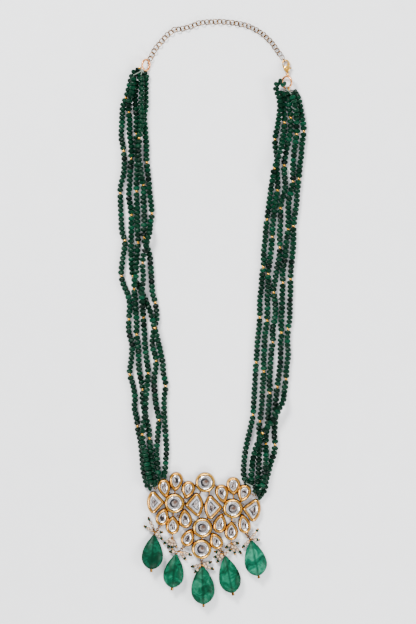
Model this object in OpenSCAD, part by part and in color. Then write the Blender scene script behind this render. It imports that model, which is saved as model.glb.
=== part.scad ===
/* [Strings of beads] */
// Diameter of a string, which is the width of its rondelle beads
string_d = 3.5; // [3.4:0.05:3.55]

/* [Settings] */
// Height of the gold rim of a setting over the back
rim_h = 3.6; // [3.4:0.1:4]
// Width of the gold rim round each stone
rim_w = 1.6; // [1.4:0.05:1.7]
// Outer radius of a round setting
round_r = 6.4; // [6.2:0.05:6.5]

/* [Stones] */
// How far the flat top of a stone lies under the rim
table_drop = 0.2; // [0:0.05:0.5]
// Gap between a stone and its setting
stone_gap = 0.1; // [0.05:0.01:0.15]

/* [Drops] */
// Thickness of a green drop at its fullest
drop_t = 7; // [6.6:0.1:7]
// Radius of a drop's head pin
pin_r = 0.3; // [0.25:0.01:0.32]

/* [Pearls] */
// Radius of a pearl
pearl_r = 1; // [0.9:0.05:1.05]

/* [Chain] */
// Radius of a chain link to the middle of its wire
link_r = 1.66; // [1.64:0.01:1.68]
// Radius of the chain's wire
link_wire_r = 0.19; // [0.17:0.005:0.2]

/* [Clasp] */
// Thickness of the clasp's body
clasp_t = 2.6; // [2.5:0.1:2.8]
// Radius of the pin that the lever turns on
pivot_r = 0.4; // [0.35:0.01:0.42]

/* [Hidden] */
string_sides = 8;

// Each route is seen from above, from the clasp end down to the pendant: x, y and how high
// the string is lifted off the ground where it rides over its neighbours.
LEFT_ROUTES = [
    [[-49.5, 157.5, 0], [-51.5, 154.5, 0], [-53, 150, 0], [-54.5, 144, 0], [-56, 139, 0],
     [-58, 133, 0], [-58.5, 123, 0], [-59, 114.5, 0], [-58, 109, 0], [-57, 99, 0],
     [-57.5, 90, 0], [-59.5, 81, 0], [-59.5, 72.5, 0], [-59, 62, 0], [-58.5, 52.5, 0],
     [-56.5, 46, 0], [-57.5, 38, 0], [-58.5, 31, 0], [-59, 24.5, 0], [-57.5, 18, 0],
     [-55, 12.5, 0], [-53.5, 5, 0], [-54, -4, 0], [-54, -12.5, 0], [-52, -21, 0],
     [-52.5, -31, 0], [-53.5, -39.5, 0], [-51.5, -46.5, 0], [-50, -55.5, 0], [-50.5, -62, 0],
     [-49, -68.5, 0], [-48, -76.5, 0], [-46.5, -83.5, 0], [-45.5, -92.5, 0], [-45, -100, 0],
     [-44, -105.5, 0], [-42.5, -111.5, 0], [-41, -113.5, 0]],
    [[-51, 153, 3.6], [-51, 148, 3.6], [-52, 142, 3.6], [-53.5, 137, 3.6], [-54, 130.5, 0],
     [-53.5, 124, 0], [-53.5, 116, 0], [-52.5, 107.5, 0], [-52.5, 100.5, 0], [-53, 92.5, 0],
     [-53.5, 83.5, 0], [-54, 74.5, 0], [-52.5, 65.5, 0], [-52.5, 55, 0], [-52.5, 44, 0],
     [-52.5, 35, 0], [-52, 27.5, 0], [-51, 22.5, 0], [-48.5, 18.5, 0], [-46, 13.5, 0],
     [-43, 7.5, 0], [-40, 0.5, 3.6], [-38.5, -5.5, 3.6], [-37, -10.5, 3.6], [-35, -18, 3.6],
     [-33.5, -25, 0], [-32, -32, 0], [-31.5, -40, 0], [-30, -47, 0], [-31, -55.5, 0],
     [-31, -64, 0], [-30.5, -72, 0], [-30, -80.5, 0], [-29.5, -88.5, 0], [-30, -96, 0],
     [-30.5, -102.5, 0], [-31, -105.5, 0]],
    [[-48.5, 151, 0], [-49.5, 146, 0], [-50, 139.5, 0], [-49.5, 133, 0], [-49, 126, 0],
     [-49, 118.5, 0], [-49, 113.5, 0], [-48.5, 107.5, 0], [-48.5, 101, 0], [-48.5, 92.5, 0],
     [-49, 83.5, 0], [-49, 74.5, 0], [-48.5, 65.5, 0], [-48.5, 56, 0], [-48, 47, 0],
     [-48.5, 39.5, 0], [-49, 31, 3.6], [-49, 25, 3.6], [-50, 20, 3.6], [-50.5, 15.5, 3.6],
     [-50, 9.5, 0], [-49.5, 2.5, 0], [-49, -5, 0], [-49, -13.5, 0], [-48, -22, 0],
     [-47.5, -29, 0], [-47.5, -36.5, 0], [-46, -44.5, 0], [-45, -51, 0], [-45, -57, 0],
     [-44, -63.5, 0], [-42.5, -70, 0], [-41, -76.5, 0], [-40.5, -83, 0], [-40, -89.5, 0],
     [-39.5, -96.5, 0], [-39, -103.5, 0], [-38.5, -110.5, 0]],
    [[-46, 153, 3.6], [-45.5, 146.5, 3.6], [-45.5, 140, 3.6], [-46, 133.5, 3.6], [-45.5, 127, 3.6],
     [-46, 120.5, 3.6], [-47, 114.5, 3.6], [-47.5, 108, 3.6], [-47.5, 101, 3.6], [-46.5, 94, 3.6],
     [-45.5, 87.5, 3.6], [-44.5, 81.5, 0], [-44.5, 74, 0], [-44, 65.5, 0], [-44, 56, 0],
     [-44, 49, 0], [-43, 44, 0], [-41, 39.5, 0], [-40, 33.5, 0], [-39.5, 26.5, 0],
     [-39, 19, 0], [-38.5, 12.5, 0], [-37, 7, 0], [-36, 1, 0], [-36, -5, 0],
     [-37.5, -10.5, 0], [-38.5, -16.5, 0], [-38.5, -23, 0], [-36.5, -29.5, 0],
     [-36.5, -35.5, 0], [-37.5, -44, 0], [-37, -53.5, 0], [-36, -62, 0], [-34.5, -69, 0],
     [-35, -76.5, 0], [-35.5, -83.5, 0], [-36, -90.5, 0], [-35.5, -98, 0], [-35, -105.5, 0]],
    [[-43, 153, 0], [-43, 147, 0], [-43, 140.5, 0], [-43, 134, 0], [-44, 127.5, 0],
     [-43.5, 121, 0], [-43, 114.5, 0], [-42.5, 107.5, 0], [-42.5, 100.5, 0], [-42, 94, 0],
     [-41, 86, 0], [-40.5, 78.5, 0], [-39.5, 70.5, 0], [-39, 64, 0], [-40, 57.5, 0],
     [-40.5, 51.5, 3.6], [-42, 46.5, 3.6], [-43, 41.5, 3.6], [-44.5, 36, 3.6], [-45, 30, 3.6],
     [-44.5, 23.5, 3.6], [-45, 17, 3.6], [-45.5, 10.5, 3.6], [-45, 3.5, 3.6], [-44.5, -3.5, 0],
     [-44, -12, 0], [-43.5, -21, 0], [-42.5, -30, 0], [-41.5, -38.5, 0], [-42, -46.5, 3.6],
     [-42.5, -53.5, 3.6], [-43, -60, 3.6], [-43.5, -66.5, 3.6], [-44.5, -73, 3.6], [-45, -79, 3.6],
     [-45, -85, 3.6], [-43.5, -90.5, 3.6], [-42.5, -96.5, 3.6], [-41.5, -102.5, 3.6],
     [-40.5, -108, 3.6], [-40, -111.5, 3.6]],
];
RIGHT_ROUTES = [
    [[47.5, 146.5, 3.4], [44.5, 149.5, 3.4], [42, 148, 3.4], [41.5, 144.5, 3.4], [43, 140.5, 3.4],
     [44, 135, 3.4], [43.5, 128.5, 3.4], [42.5, 121, 0], [41, 114, 0], [41, 108, 0],
     [42, 101.5, 0], [42, 94, 0], [42.5, 86, 0], [42.5, 78.5, 0], [41, 72, 0],
     [40.5, 65.5, 0], [39.5, 57.5, 0], [39, 49.5, 0], [38.5, 41.5, 0], [37.5, 33, 0],
     [36.5, 25, 0], [36.5, 16.5, 0], [36, 8, 0], [36, -0.5, 0], [35.5, -7.5, 0],
     [34.5, -14.5, 0], [34, -23.5, 0], [33.5, -32, 0], [33.5, -39.5, 0], [33, -47, 0],
     [32.5, -55.5, 0], [32, -63.5, 0], [31, -70.5, 0], [30.5, -77.5, 0], [31, -85, 0],
     [30.5, -92, 0], [30.5, -99, 0], [30, -106.5, 0], [29.3, -114.3, 0]],
    [[46, 143, 0], [46, 138, 0], [46.5, 131.5, 0], [47, 126, 0], [47, 120.5, 0],
     [46, 114, 0], [45, 108, 3.6], [43.5, 102.5, 3.6], [42, 98, 3.6], [40, 92.5, 3.6],
     [39, 85.5, 3.6], [38, 78.5, 0], [37, 71, 0], [36, 63.5, 0], [35, 55.5, 0],
     [34.5, 48, 0], [33.5, 40, 0], [33.5, 31.5, 0], [32.5, 24.5, 0], [32, 16, 0],
     [31, 7.5, 0], [31, -1, 0], [30.5, -9.5, 0], [29.5, -18, 0], [29, -26.5, 0],
     [28.5, -34, 0], [28, -42.5, 0], [27.5, -51, 0], [27, -59.5, 0], [26.5, -67.5, 0],
     [25, -74.5, 0], [23.5, -81, 0], [22, -88, 0], [21, -94.5, 0], [20.5, -101, 0],
     [20.5, -105, 0], [21.5, -109.5, 0]],
    [[50, 140, 0], [50, 135.5, 0], [51, 129.5, 0], [51, 124, 0], [51, 117.5, 0],
     [49.5, 111, 0], [48, 103.5, 0], [47, 97, 0], [47, 90.5, 0], [47.5, 83.5, 0],
     [47, 77.5, 0], [45, 72, 0], [44.5, 66, 0], [44.5, 59, 0], [44, 51, 0],
     [44, 43, 0], [43.5, 35.5, 0], [42, 27.5, 0], [41, 20.5, 0], [40, 14, 0],
     [41, 6, 0], [41, -2.5, 0], [39.5, -10.5, 0], [39.5, -18.5, 0], [38.5, -25.5, 0],
     [38, -34, 0], [37.5, -42.5, 0], [37.5, -51, 0], [37, -59, 0], [36.5, -66.5, 0],
     [36, -74, 0], [35, -80.5, 0], [35, -87.5, 0], [35, -94.5, 3.4], [34.5, -101.5, 3.4],
     [33.5, -108, 3.4], [32, -113.5, 3.4]],
    [[51.5, 141, 3.4], [53.5, 136, 3.4], [54.5, 130.5, 3.4], [55, 124, 0], [55, 116.5, 0],
     [54, 109, 0], [53, 101, 0], [52.5, 93.5, 0], [52.5, 85.5, 0], [51.5, 79, 0],
     [50, 73, 0], [49.5, 66, 0], [49.5, 58, 0], [49, 50.5, 0], [48, 42.5, 0],
     [47.5, 35, 0], [46, 27, 0], [46, 19, 0], [45.5, 11.5, 0], [45.5, 3, 0],
     [45, -5.5, 0], [45, -13.5, 0], [44.5, -21, 0], [44.5, -28.5, 0], [44, -36, 0],
     [43, -44, 0], [42, -51, 0], [41.5, -58, 0], [41, -65.5, 0], [41, -72.5, 0],
     [40.5, -79, 0], [41, -86, 0], [40, -92.5, 0], [38, -98.5, 0], [36.5, -104.5, 0],
     [35, -109.5, 0], [34.5, -114, 0], [33, -117.5, 0]],
    [[53.5, 143.5, 0], [55.5, 140.5, 0], [56.5, 137.5, 0], [57.5, 133, 0], [58.5, 127, 0],
     [59.5, 121, 0], [59.5, 115.5, 0], [58.5, 109, 0], [58, 101.5, 0], [57, 94.5, 0],
     [56.5, 87.5, 0], [55.5, 79.5, 0], [55, 72, 0], [54, 64, 0], [53, 56, 0],
     [53, 48.5, 0], [52.5, 39.5, 0], [51.5, 30, 0], [51, 22, 0], [51, 13.5, 0],
     [50.5, 5, 0], [50.5, -3.5, 0], [49.5, -10.5, 0], [49, -18.5, 0], [49.5, -27, 0],
     [48.5, -35.5, 0], [48, -44, 0], [47, -51, 0], [46, -57.5, 3.6], [43.5, -62.5, 3.6],
     [41, -67.5, 3.6], [38, -71.5, 3.6], [35, -75.5, 3.6], [32.5, -78.5, 3.6], [30.5, -83, 3.6],
     [28.5, -87, 3.6], [27, -92.5, 3.6], [26, -100, 0], [25.5, -106.5, 0], [25.5, -110, 0]],
];

// The pendant's settings. Rounds: x and y of the middle.
ROUNDS = [[-4.4, -110.3], [-24.4, -123.8], [13.5, -127.2], [-6.2, -139.7], [-6.8, -153.6]];
// Pears: x and y of the pointed tip, x and y of the round end, and the width.
PEARS = [
    [-29.9, -120.1, -31.9, -108.2, 8.1],
    [-24.1, -116, -22.8, -103.7, 8.8],
    [-16.9, -120.9, -14.3, -109.5, 8.5],
    [-30.3, -127, -33.8, -138.1, 8.6],
    [-25.4, -132, -25.7, -144, 8.8],
    [-17.9, -127.7, -16.9, -139.8, 8.8],
    [7.9, -123.7, 5.2, -111.8, 8.5],
    [14, -118.6, 13.7, -106.9, 9],
    [18.9, -122.9, 22.4, -111.8, 8.5],
    [6.5, -130.7, 3.9, -143, 8.5],
    [12.7, -135.5, 12.4, -147.9, 8.8],
    [19.5, -131, 22.1, -143.3, 8.1],
    [-13.3, -140.7, -17.9, -151.5, 8.5],
    [0, -143, 4.9, -153.4, 8.5],
];
// Fans: x and y of the narrow end, the way the wide end faces, the depth and the height.
FANS = [
    [-31.2, -123.2, 180, 11, 14.3],
    [-17.2, -125.1, 3, 11.5, 15],
    [6.5, -126.4, 180, 11.5, 15.3],
    [20.2, -127.1, -10, 11.4, 14.8],
];
// Short wires that solder the settings together: x and y where each starts, inside the wall of
// one setting, and where it ends, inside the wall of the next.
WIRES = [
    [-7, -114.8, -8.6, -119.6], [-1.8, -114.8, -1.9, -119.9], [-9.6, -111.6, -12.8, -112.4],
    [0.8, -112.2, 4.2, -113.4], [-7.4, -125.4, -3, -125.5], [-8.6, -130.4, -8, -135.4],
    [-2.2, -131.2, -4, -135.2], [-6.3, -144.6, -6.6, -149],
];
// The same from two petals to the knots of the sprays under them: x and y in the petal
SPRAY_WIRES = [[-25.7, -143.2], [12.4, -147.1]];
// The same between the pendant and the rings that the strings are tied to, which lie higher
TIE_WIRES = [[-34.2, -113.7, -35.8, -113.8], [24.4, -117.6, 26.7, -118.1]];
// The round that the narrow end of each pear and of each fan is soldered to
PEAR_ROUNDS = [1, 1, 1, 1, 1, 1, 2, 2, 2, 2, 2, 2, 3, 3];
FAN_ROUNDS = [1, 1, 2, 2];
wire_r = 0.45;
wire_z = 0.7;
plate_h = 1.2;

// Middles of the rings that the strings are tied to
TIES = [[-36.7, -113.9], [27.5, -118.3]];

// Where a thread that is tied there goes over the edge of a setting: its string and the points
LEFT_BENDS = [[1, [[-33.6, -108.3, 2.4]]]];
RIGHT_BENDS = [[1, [[26, -112.6, 3.4], [22.6, -111, 4.3]]]];

// Drops: x and y on the edge of the setting that holds it, x and y of the drop's top and of its
// bottom, and the width.
DROPS = [
    [-33.8, -138.1, -37.7, -144.6, -39.3, -166.4, 13.5],
    [-17.9, -151.5, -23.4, -157, -25.9, -178.3, 13],
    [-6.8, -160.2, -6.5, -164.4, -5.5, -189, 15],
    [4.9, -153.4, 8.5, -158.3, 13.4, -181.6, 13.7],
    [22.1, -143.3, 25.4, -148.2, 30.1, -170.5, 14.1],
];
// Half the width of a drop along its length: how far down, and the share of the full width.
DROP_PROFILE = [
    [0, 0.14], [0.08, 0.29], [0.2, 0.56], [0.35, 0.8], [0.5, 0.95], [0.62, 1],
    [0.72, 0.98], [0.82, 0.86], [0.91, 0.64], [0.97, 0.38], [1, 0.16],
];
drop_top_z = 2.3;
drop_tilt = 5;
drop_sides = 14;

// A setting's soldered ring, the link through it and the eye of a head pin: radius, wire, height
// of the middle, and how far it lies from the setting's edge.
RING = [0.85, 0.25, 1.4, 0.6];
LINK = [1.1, 0.2, 1.75, 1.8];
EYE = [0.75, 0.22, 2, 2.9];

// Sprays of pearls. Each has the point where its wires start, and then for each wire the point
// where it ends and how far along it the pearl is, or 0 for a wire with no pearl.
SPRAYS = [
    [[-36.9, -142.6, 3.2], [-41.3, -133.4, 1.6, 0.66], [-43.9, -138.8, 1.2, 0.6],
     [-32.3, -142.5, 3.2, 0], [-32.4, -147.2, 1.6, 0.6]],
    [[-21.3, -154.7, 3.5], [-13.6, -157.4, 1.6, 0.68], [-17.2, -160.4, 1.4, 0.64],
     [-27.4, -155.4, 1.6, 0]],
    [[-6.5, -163.7, 3.4], [-13.3, -165, 1.5, 0.52], [-11.2, -168.6, 2.8, 0],
     [-0.6, -162, 1.6, 0.6], [0.8, -166.6, 1.6, 0.62]],
    [[7.6, -157.1, 3.2], [1.9, -154.9, 4.6, 0], [1.4, -158.8, 1.6, 0.62],
     [3.2, -162, 1.5, 0.56], [12.4, -153.8, 1.6, 0.56]],
    [[24.8, -147.3, 3.3], [29.8, -140.8, 1.6, 0.5], [19.9, -152.4, 1.5, 0.6],
     [30.4, -147.6, 1.8, 0]],
    [[-25.8, -146, 1.5], [-31.2, -150.2, 1.2, 0.62], [-28.7, -152.9, 1.2, 0.6],
     [-25.9, -153.6, 1.2, 0.62], [-23.2, -152.2, 1.2, 0.76]],
    [[12.5, -149.9, 1.5], [9, -152.6, 1.5, 0], [15, -157, 1.2, 0.6],
     [18.8, -156.2, 1.2, 0.66], [17.2, -149.8, 1.3, 0]],
];
spray_wire_r = 0.2;
spray_tip_r = 0.42;

// The chain seen from above, from the left jump ring to the clasp.
CHAIN_ROUTE = [
    [-41.1, 163.1], [-39, 167.1], [-37, 171.2], [-33, 175.8], [-29.2, 180.2], [-24.5, 183.7],
    [-19.6, 184.3], [-14, 185.7], [-9, 187.9], [-3.6, 188.6], [5.2, 189], [13.7, 188.2],
    [22.3, 186.6], [27.6, 184.2], [33, 180.9], [38.9, 175.2], [41.9, 170.6], [44.9, 166.7],
    [46.6, 164],
];
chain_links = 41;
link_roll = 26;

// Jump rings: middle, radius, wire, tilt and the way its long axis points.
LEFT_JUMP = [[-42.9, 160.5, 3.15], 3.5, 0.42, 50, 80];
RIGHT_JUMP = [[48.5, 149.4, 2.95], 3.8, 0.42, -40, 95];
// Where round each jump ring the threads are tied, as an angle from its far end
left_tie_a = 150;
right_tie_a = 180;

// Threads
knot_r = 0.7;
thread_r = 0.25;
thread_loop_r = 0.75;

clasp_at = [48.5, 158.1, 1.3];
clasp_turn = 10;
hook_y = 3.9;
hook_r = 1.95;
hook_wire_r = 0.5;
boss_r = 1.9;
lever_t = 1.1;
tail_y = -2.9;
tail_r = 1;

gold = "goldenrod";
glass = "lightgray";
emerald = "seagreen";

// Outlines, as points round a setting whose narrow end is at the origin and whose wide end lies
// along x. inset moves the outline inwards.

function arc(at, r, from, to, steps) =
    [for (i = [0:steps]) let (a = from + (to - from) * i / steps) at + r * [cos(a), sin(a)]];

function round_outline(inset) =
    [for (i = [0:15]) (round_r - inset) * [cos(22.5 * i), sin(22.5 * i)]];

pear_points = 18;
pear_power = 0.55;
function pear_bulge(t) = sin(t) * pow(sin(t / 2), pear_power);
pear_most = max([for (t = [1:179]) pear_bulge(t)]);
// The tip moves in a little further than the sides do.
function pear_outline(length, width, inset) = [
    for (i = [0:pear_points - 1])
        let (
            t = 360 * i / pear_points,
            inner = length - 2.4 * inset,
            side = t > 180 ? pear_bulge(360 - t) : -pear_bulge(t)
        )
        [1.4 * inset + inner * (1 - cos(t)) / 2, (width / 2 - inset) * side / pear_most]
];

fan_tip_r = 2;
fan_corner_r = 2.4;
fan_corner_back = 4;
function fan_outline(depth, height, inset) =
    let (
        corner = [depth - fan_corner_back, height / 2 - fan_corner_r],
        base_r = (pow(fan_corner_back, 2) + pow(corner[1], 2) - pow(fan_corner_r, 2))
            / (2 * (fan_corner_back - fan_corner_r)),
        base_x = depth - base_r,
        side = corner - [fan_tip_r, 0],
        tangent = atan2(side[1], side[0]) + acos((fan_tip_r - fan_corner_r) / norm(side)),
        base_a = atan2(corner[1], corner[0] - base_x),
        upper = concat(
            arc([fan_tip_r, 0], fan_tip_r - inset, 180, tangent, 2),
            arc(corner, fan_corner_r - inset, tangent, base_a, 3),
            [[base_x, 0] + (base_r - inset) * [cos(base_a / 2), sin(base_a / 2)]]
        ),
        half = [for (i = [1:len(upper) - 1]) upper[i]],
        back = [for (i = [len(half) - 1:-1:0]) half[i]]
    )
    concat([upper[0]], [for (p = half) [p[0], -p[1]]], [[depth - inset, 0]], back);

// Solids through rows of points

function flat_row(outline, z) = [for (p = outline) [p[0], p[1], z]];

// Joins the rows, which run anticlockwise seen from the last one, and closes both ends.
module stack(rows) {
    count = len(rows[0]);
    polyhedron(
        points = [for (r = rows) each r],
        faces = concat(
            [for (r = [0:len(rows) - 2], i = [0:count - 1])
                let (a = r * count, b = a + count, j = (i + 1) % count)
                each [[a + i, b + j, a + j], [a + i, b + i, b + j]]],
            [[for (i = [0:count - 1]) i]],
            [[for (i = [count - 1:-1:0]) (len(rows) - 1) * count + i]]
        )
    );
}

// Section of a setting from its outer edge to its floor: how far in, and how high
function setting_section() = [
    [0, 0], [0, rim_h - 0.8], [rim_w * 0.38, rim_h], [rim_w, rim_h - 0.9], [rim_w, plate_h]
];
// Section of a stone: base, girdle, and the edge of its flat table above the bevelled crown
function stone_section() = [
    [rim_w + stone_gap, plate_h + stone_gap],
    [rim_w + stone_gap, rim_h - 1],
    [rim_w + stone_gap + 0.9, rim_h - table_drop],
];

module round_stack(c, section) {
    translate([c[0], c[1], 0])
        stack([for (s = section) flat_row(round_outline(s[0]), s[1])]);
}

module pear_stack(p, section) {
    length = norm([p[2] - p[0], p[3] - p[1]]);
    translate([p[0], p[1], 0])
        rotate(atan2(p[3] - p[1], p[2] - p[0]))
            stack([for (s = section) flat_row(pear_outline(length, p[4], s[0]), s[1])]);
}

// Past the wall of its setting a fan keeps its shape and only gets smaller round its middle.
function fan_row(f, inset) =
    let (
        wall = min(inset, rim_w + stone_gap),
        middle = [0.64 * f[3], 0],
        share = 1 - (inset - wall) / (0.16 * f[4])
    )
    [for (p = fan_outline(f[3], f[4], wall)) middle + share * (p - middle)];

module fan_stack(f, section) {
    translate([f[0], f[1], 0])
        rotate(f[2])
            stack([for (s = section) flat_row(fan_row(f, s[0]), s[1])]);
}

module round_setting(c) {
    section = setting_section();
    translate([c[0], c[1], 0])
        rotate_extrude($fn = 72)
            polygon(concat([[0, 0]], [for (s = section) [round_r - s[0], s[1]]], [[0, plate_h]]));
}

module round_stone(c) {
    color(glass)
        round_stack(c, stone_section());
}

module pear_stone(p) {
    color(glass)
        pear_stack(p, stone_section());
}

module fan_stone(f) {
    color(glass)
        fan_stack(f, stone_section());
}

// A straight wire between two points
module wire(a, b, r, sides = 10) {
    v = b - a;
    translate(a)
        rotate([0, acos(v[2] / norm(v)), atan2(v[1], v[0])])
            cylinder(r = r, h = norm(v), $fn = sides);
}

module ring(r, wire_r) {
    rotate_extrude($fn = 48)
        translate([r, 0])
            circle(wire_r, $fn = 24);
}

module ball(at, r) {
    translate(at)
        sphere(r, $fn = 12);
}

function toward(a, b) = (b - a) / norm(b - a);
function drop_edge(d) = [d[0], d[1]];
function drop_top(d) = [d[2], d[3]];
function drop_bottom(d) = [d[4], d[5]];
function hang(d, s) = drop_edge(d) + s * toward(drop_edge(d), drop_top(d));

// From inside a round's wall to inside the narrow end of a petal that points along way
module petal_wire(c, tip, way) {
    wire(
        [each c + (round_r - 1.2) * toward(c, tip), wire_z],
        [each tip + 1.6 * way, wire_z],
        wire_r
    );
}

module flat_ring(at) {
    translate([each at, RING[2]])
        ring(RING[0], RING[1]);
}

module pendant_frame() {
    color(gold) {
        for (c = ROUNDS)
            round_setting(c);
        for (p = PEARS)
            pear_stack(p, setting_section());
        for (f = FANS)
            fan_stack(f, setting_section());
        for (i = [0:len(PEARS) - 1]) {
            p = PEARS[i];
            tip = [p[0], p[1]];
            petal_wire(ROUNDS[PEAR_ROUNDS[i]], tip, toward(tip, [p[2], p[3]]));
        }
        for (i = [0:len(FANS) - 1]) {
            f = FANS[i];
            petal_wire(ROUNDS[FAN_ROUNDS[i]], [f[0], f[1]], [cos(f[2]), sin(f[2])]);
        }
        for (w = WIRES)
            wire([w[0], w[1], wire_z], [w[2], w[3], wire_z], wire_r);
        for (w = TIE_WIRES)
            wire([w[0], w[1], RING[2]], [w[2], w[3], RING[2]], 0.3);
        for (i = [0:1]) {
            wire([each SPRAY_WIRES[i], plate_h], SPRAYS[i + 5][0], 0.3);
            spray(SPRAYS[i + 5]);
        }
        for (d = DROPS)
            flat_ring(hang(d, RING[3]));
        for (t = TIES)
            flat_ring(t);
    }
}

// The small links that each hold a drop's head pin in its ring
module drop_links() {
    color(gold)
        for (d = DROPS) {
            v = drop_top(d) - drop_edge(d);
            translate([each hang(d, LINK[3]), LINK[2]])
                rotate([90, 0, atan2(v[1], v[0])])
                    ring(LINK[0], LINK[1]);
        }
}

module drop_place(d) {
    v = drop_bottom(d) - drop_top(d);
    translate([each drop_top(d), drop_top_z])
        rotate([0, -drop_tilt, atan2(v[1], v[0])])
            children();
}

function drop_length(d) = norm(drop_bottom(d) - drop_top(d)) / cos(drop_tilt);

module drop(d) {
    color(emerald)
        drop_place(d)
            difference() {
                stack([
                    for (s = DROP_PROFILE) [
                        for (i = [0:drop_sides - 1])
                            let (a = 360 * i / drop_sides)
                            [
                                s[0] * drop_length(d),
                                d[6] / 2 * s[1] * cos(a),
                                drop_t / 2 * s[1] * sin(a)
                            ]
                    ]
                ]);
                translate([-1, 0, 0])
                    rotate([0, 90, 0])
                        cylinder(r = pin_r + 0.15, h = drop_length(d) + 2, $fn = 32);
            }
}

module spray(s) {
    for (i = [1:len(s) - 1]) {
        tip = [s[i][0], s[i][1], s[i][2]];
        wire(s[0] + 0.32 * toward(s[0], tip), tip, spray_wire_r);
        ball(tip, spray_tip_r);
    }
    ball(s[0], 0.5);
}

// A head pin through a drop, with the wires of its spray
module head_pin(d, s) {
    eye = [each hang(d, EYE[3]), EYE[2]];
    top = [each drop_top(d), drop_top_z];
    flat = toward(eye, top);
    color(gold) {
        translate(eye)
            ring(EYE[0], EYE[1]);
        wire(eye + EYE[0] * flat, top, pin_r);
        ball(top, pin_r + 0.06);
        drop_place(d)
            rotate([0, 90, 0])
                cylinder(r = pin_r, h = drop_length(d) + 1.2, $fn = 24);
        drop_place(d)
            ball([drop_length(d) + 1.2, 0, 0], 0.45);
        wire(eye + EYE[0] * flat, s[0], spray_wire_r);
        spray(s);
    }
}

// A pearl drilled along way
module pearl(at, way) {
    translate(at)
        rotate([0, acos(way[2]), atan2(way[1], way[0])])
            rotate_extrude($fn = 24)
                translate([spray_wire_r + 0.1, 0])
                    intersection() {
                        translate([-spray_wire_r - 0.1, 0])
                            circle(pearl_r, $fn = 24);
                        translate([0, -2])
                            square([2, 4]);
                    }
}

module pearls() {
    color("ivory")
        for (s = SPRAYS, i = [1:len(s) - 1])
            if (s[i][3] > 0)
                pearl(
                    s[0] + s[i][3] * ([s[i][0], s[i][1], s[i][2]] - s[0]),
                    toward(s[0], [s[i][0], s[i][1], s[i][2]])
                );
}

// Chain

function leg(i) = norm(CHAIN_ROUTE[i + 1] - CHAIN_ROUTE[i]);
function length_to(i) = i == 0 ? 0 : length_to(i - 1) + leg(i - 1);
CHAIN_X = [for (i = [0:len(CHAIN_ROUTE) - 1]) [length_to(i), CHAIN_ROUTE[i][0]]];
CHAIN_Y = [for (i = [0:len(CHAIN_ROUTE) - 1]) [length_to(i), CHAIN_ROUTE[i][1]]];
chain_length = length_to(len(CHAIN_ROUTE) - 1);
// The first link and the last stand upright round the jump ring and the hook, and a little
// nearer their neighbours.
end_pitch = 2.1;
link_pitch = (chain_length - 2 * end_pitch) / (chain_links - 3);
function link_s(i) =
    i == 0 ? 0 : i == chain_links - 1 ? chain_length : end_pitch + (i - 1) * link_pitch;
function chain_at(s) = [lookup(s, CHAIN_X), lookup(s, CHAIN_Y)];
link_z = link_wire_r + link_r * sin(link_roll);

module chain() {
    color("tan")
        for (i = [0:chain_links - 1]) {
            s = link_s(i);
            ahead = chain_at(min(s + 1, chain_length)) - chain_at(max(s - 1, 0));
            upright = i == 0 || i == chain_links - 1;
            translate([each chain_at(s), upright ? link_r + link_wire_r : link_z])
                rotate(atan2(ahead[1], ahead[0]))
                    rotate([upright ? 90 : i % 2 == 0 ? link_roll : -link_roll, 0, 0])
                        ring(link_r, link_wire_r);
        }
}

module jump(j) {
    translate(j[0])
        rotate([j[3], 0, j[4]])
            ring(j[1], j[2]);
}

module left_jump_ring() {
    color("rosybrown")
        jump(LEFT_JUMP);
}

module right_jump_ring() {
    color("rosybrown")
        jump(RIGHT_JUMP);
}

// Clasp

module clasp_place() {
    translate(clasp_at)
        rotate(clasp_turn)
            children();
}

module clasp_body() {
    color(gold)
        clasp_place() {
            difference() {
                union() {
                    cylinder(r = boss_r, h = clasp_t, center = true, $fn = 48);
                    wire([1.2, 0.6, 0], [hook_r, hook_y, 0], 0.95, 36);
                }
                cylinder(r = boss_r - 0.6, h = lever_t + 0.2, center = true, $fn = 48);
                linear_extrude(lever_t + 0.2, center = true)
                    polygon([[0.1, 0], [-4, -1.2], [-4, 4], [0.4, 4]]);
                linear_extrude(lever_t + 0.2, center = true)
                    polygon([[0, -0.6], [5, -3.1], [5, 1.9], [0, 0.9]]);
            }
            cylinder(r = pivot_r, h = clasp_t - 0.2, center = true, $fn = 32);
            translate([0, hook_y, 0])
                rotate_extrude(angle = 160, $fn = 72)
                    translate([hook_r, 0])
                        circle(hook_wire_r, $fn = 24);
            translate([hook_r * cos(160), hook_y + hook_r * sin(160), 0])
                sphere(hook_wire_r, $fn = 32);
            translate([0, tail_y, 0])
                ring(tail_r, 0.28);
        }
}

module clasp_lever() {
    color(gold)
        clasp_place()
            difference() {
                union() {
                    cylinder(r = 1.1, h = lever_t, center = true, $fn = 72);
                    linear_extrude(lever_t, center = true)
                        polygon([
                            [-0.3, -1.05], [-1.4, 0.1], [-2.2, 1.5], [-2.45, 3], [-2.2, 4],
                            [-1.7, 3.7], [-1.6, 2.8], [-1.1, 1.6], [0, 1],
                        ]);
                    linear_extrude(lever_t, center = true)
                        polygon([[0, -0.6], [3.2, -0.1], [3.2, 0.6], [0, 0.6]]);
                    translate([3.2, 0.25, 0])
                        sphere(0.55, $fn = 32);
                }
                cylinder(r = pivot_r + 0.1, h = lever_t + 1, center = true, $fn = 72);
            }
}

// The small ring between the clasp's tail and the right jump ring
module clasp_ring() {
    color(gold)
        translate([49.3, 154.2, 2])
            rotate([90, 0, 100])
                ring(1.3, 0.25);
}

// Threads: a knot, a loop round what it is tied to, and a length of thread to each string

function lifted(p) = [p[0], p[1], string_d / 2 + p[2]];
function end_at(p, next) = lifted(p) + 0.7 * toward(lifted(next), lifted(p));
function first_ends(routes) = [for (r = routes) end_at(r[0], r[1])];
function last_ends(routes) = [for (r = routes) end_at(r[len(r) - 1], r[len(r) - 2])];

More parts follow.
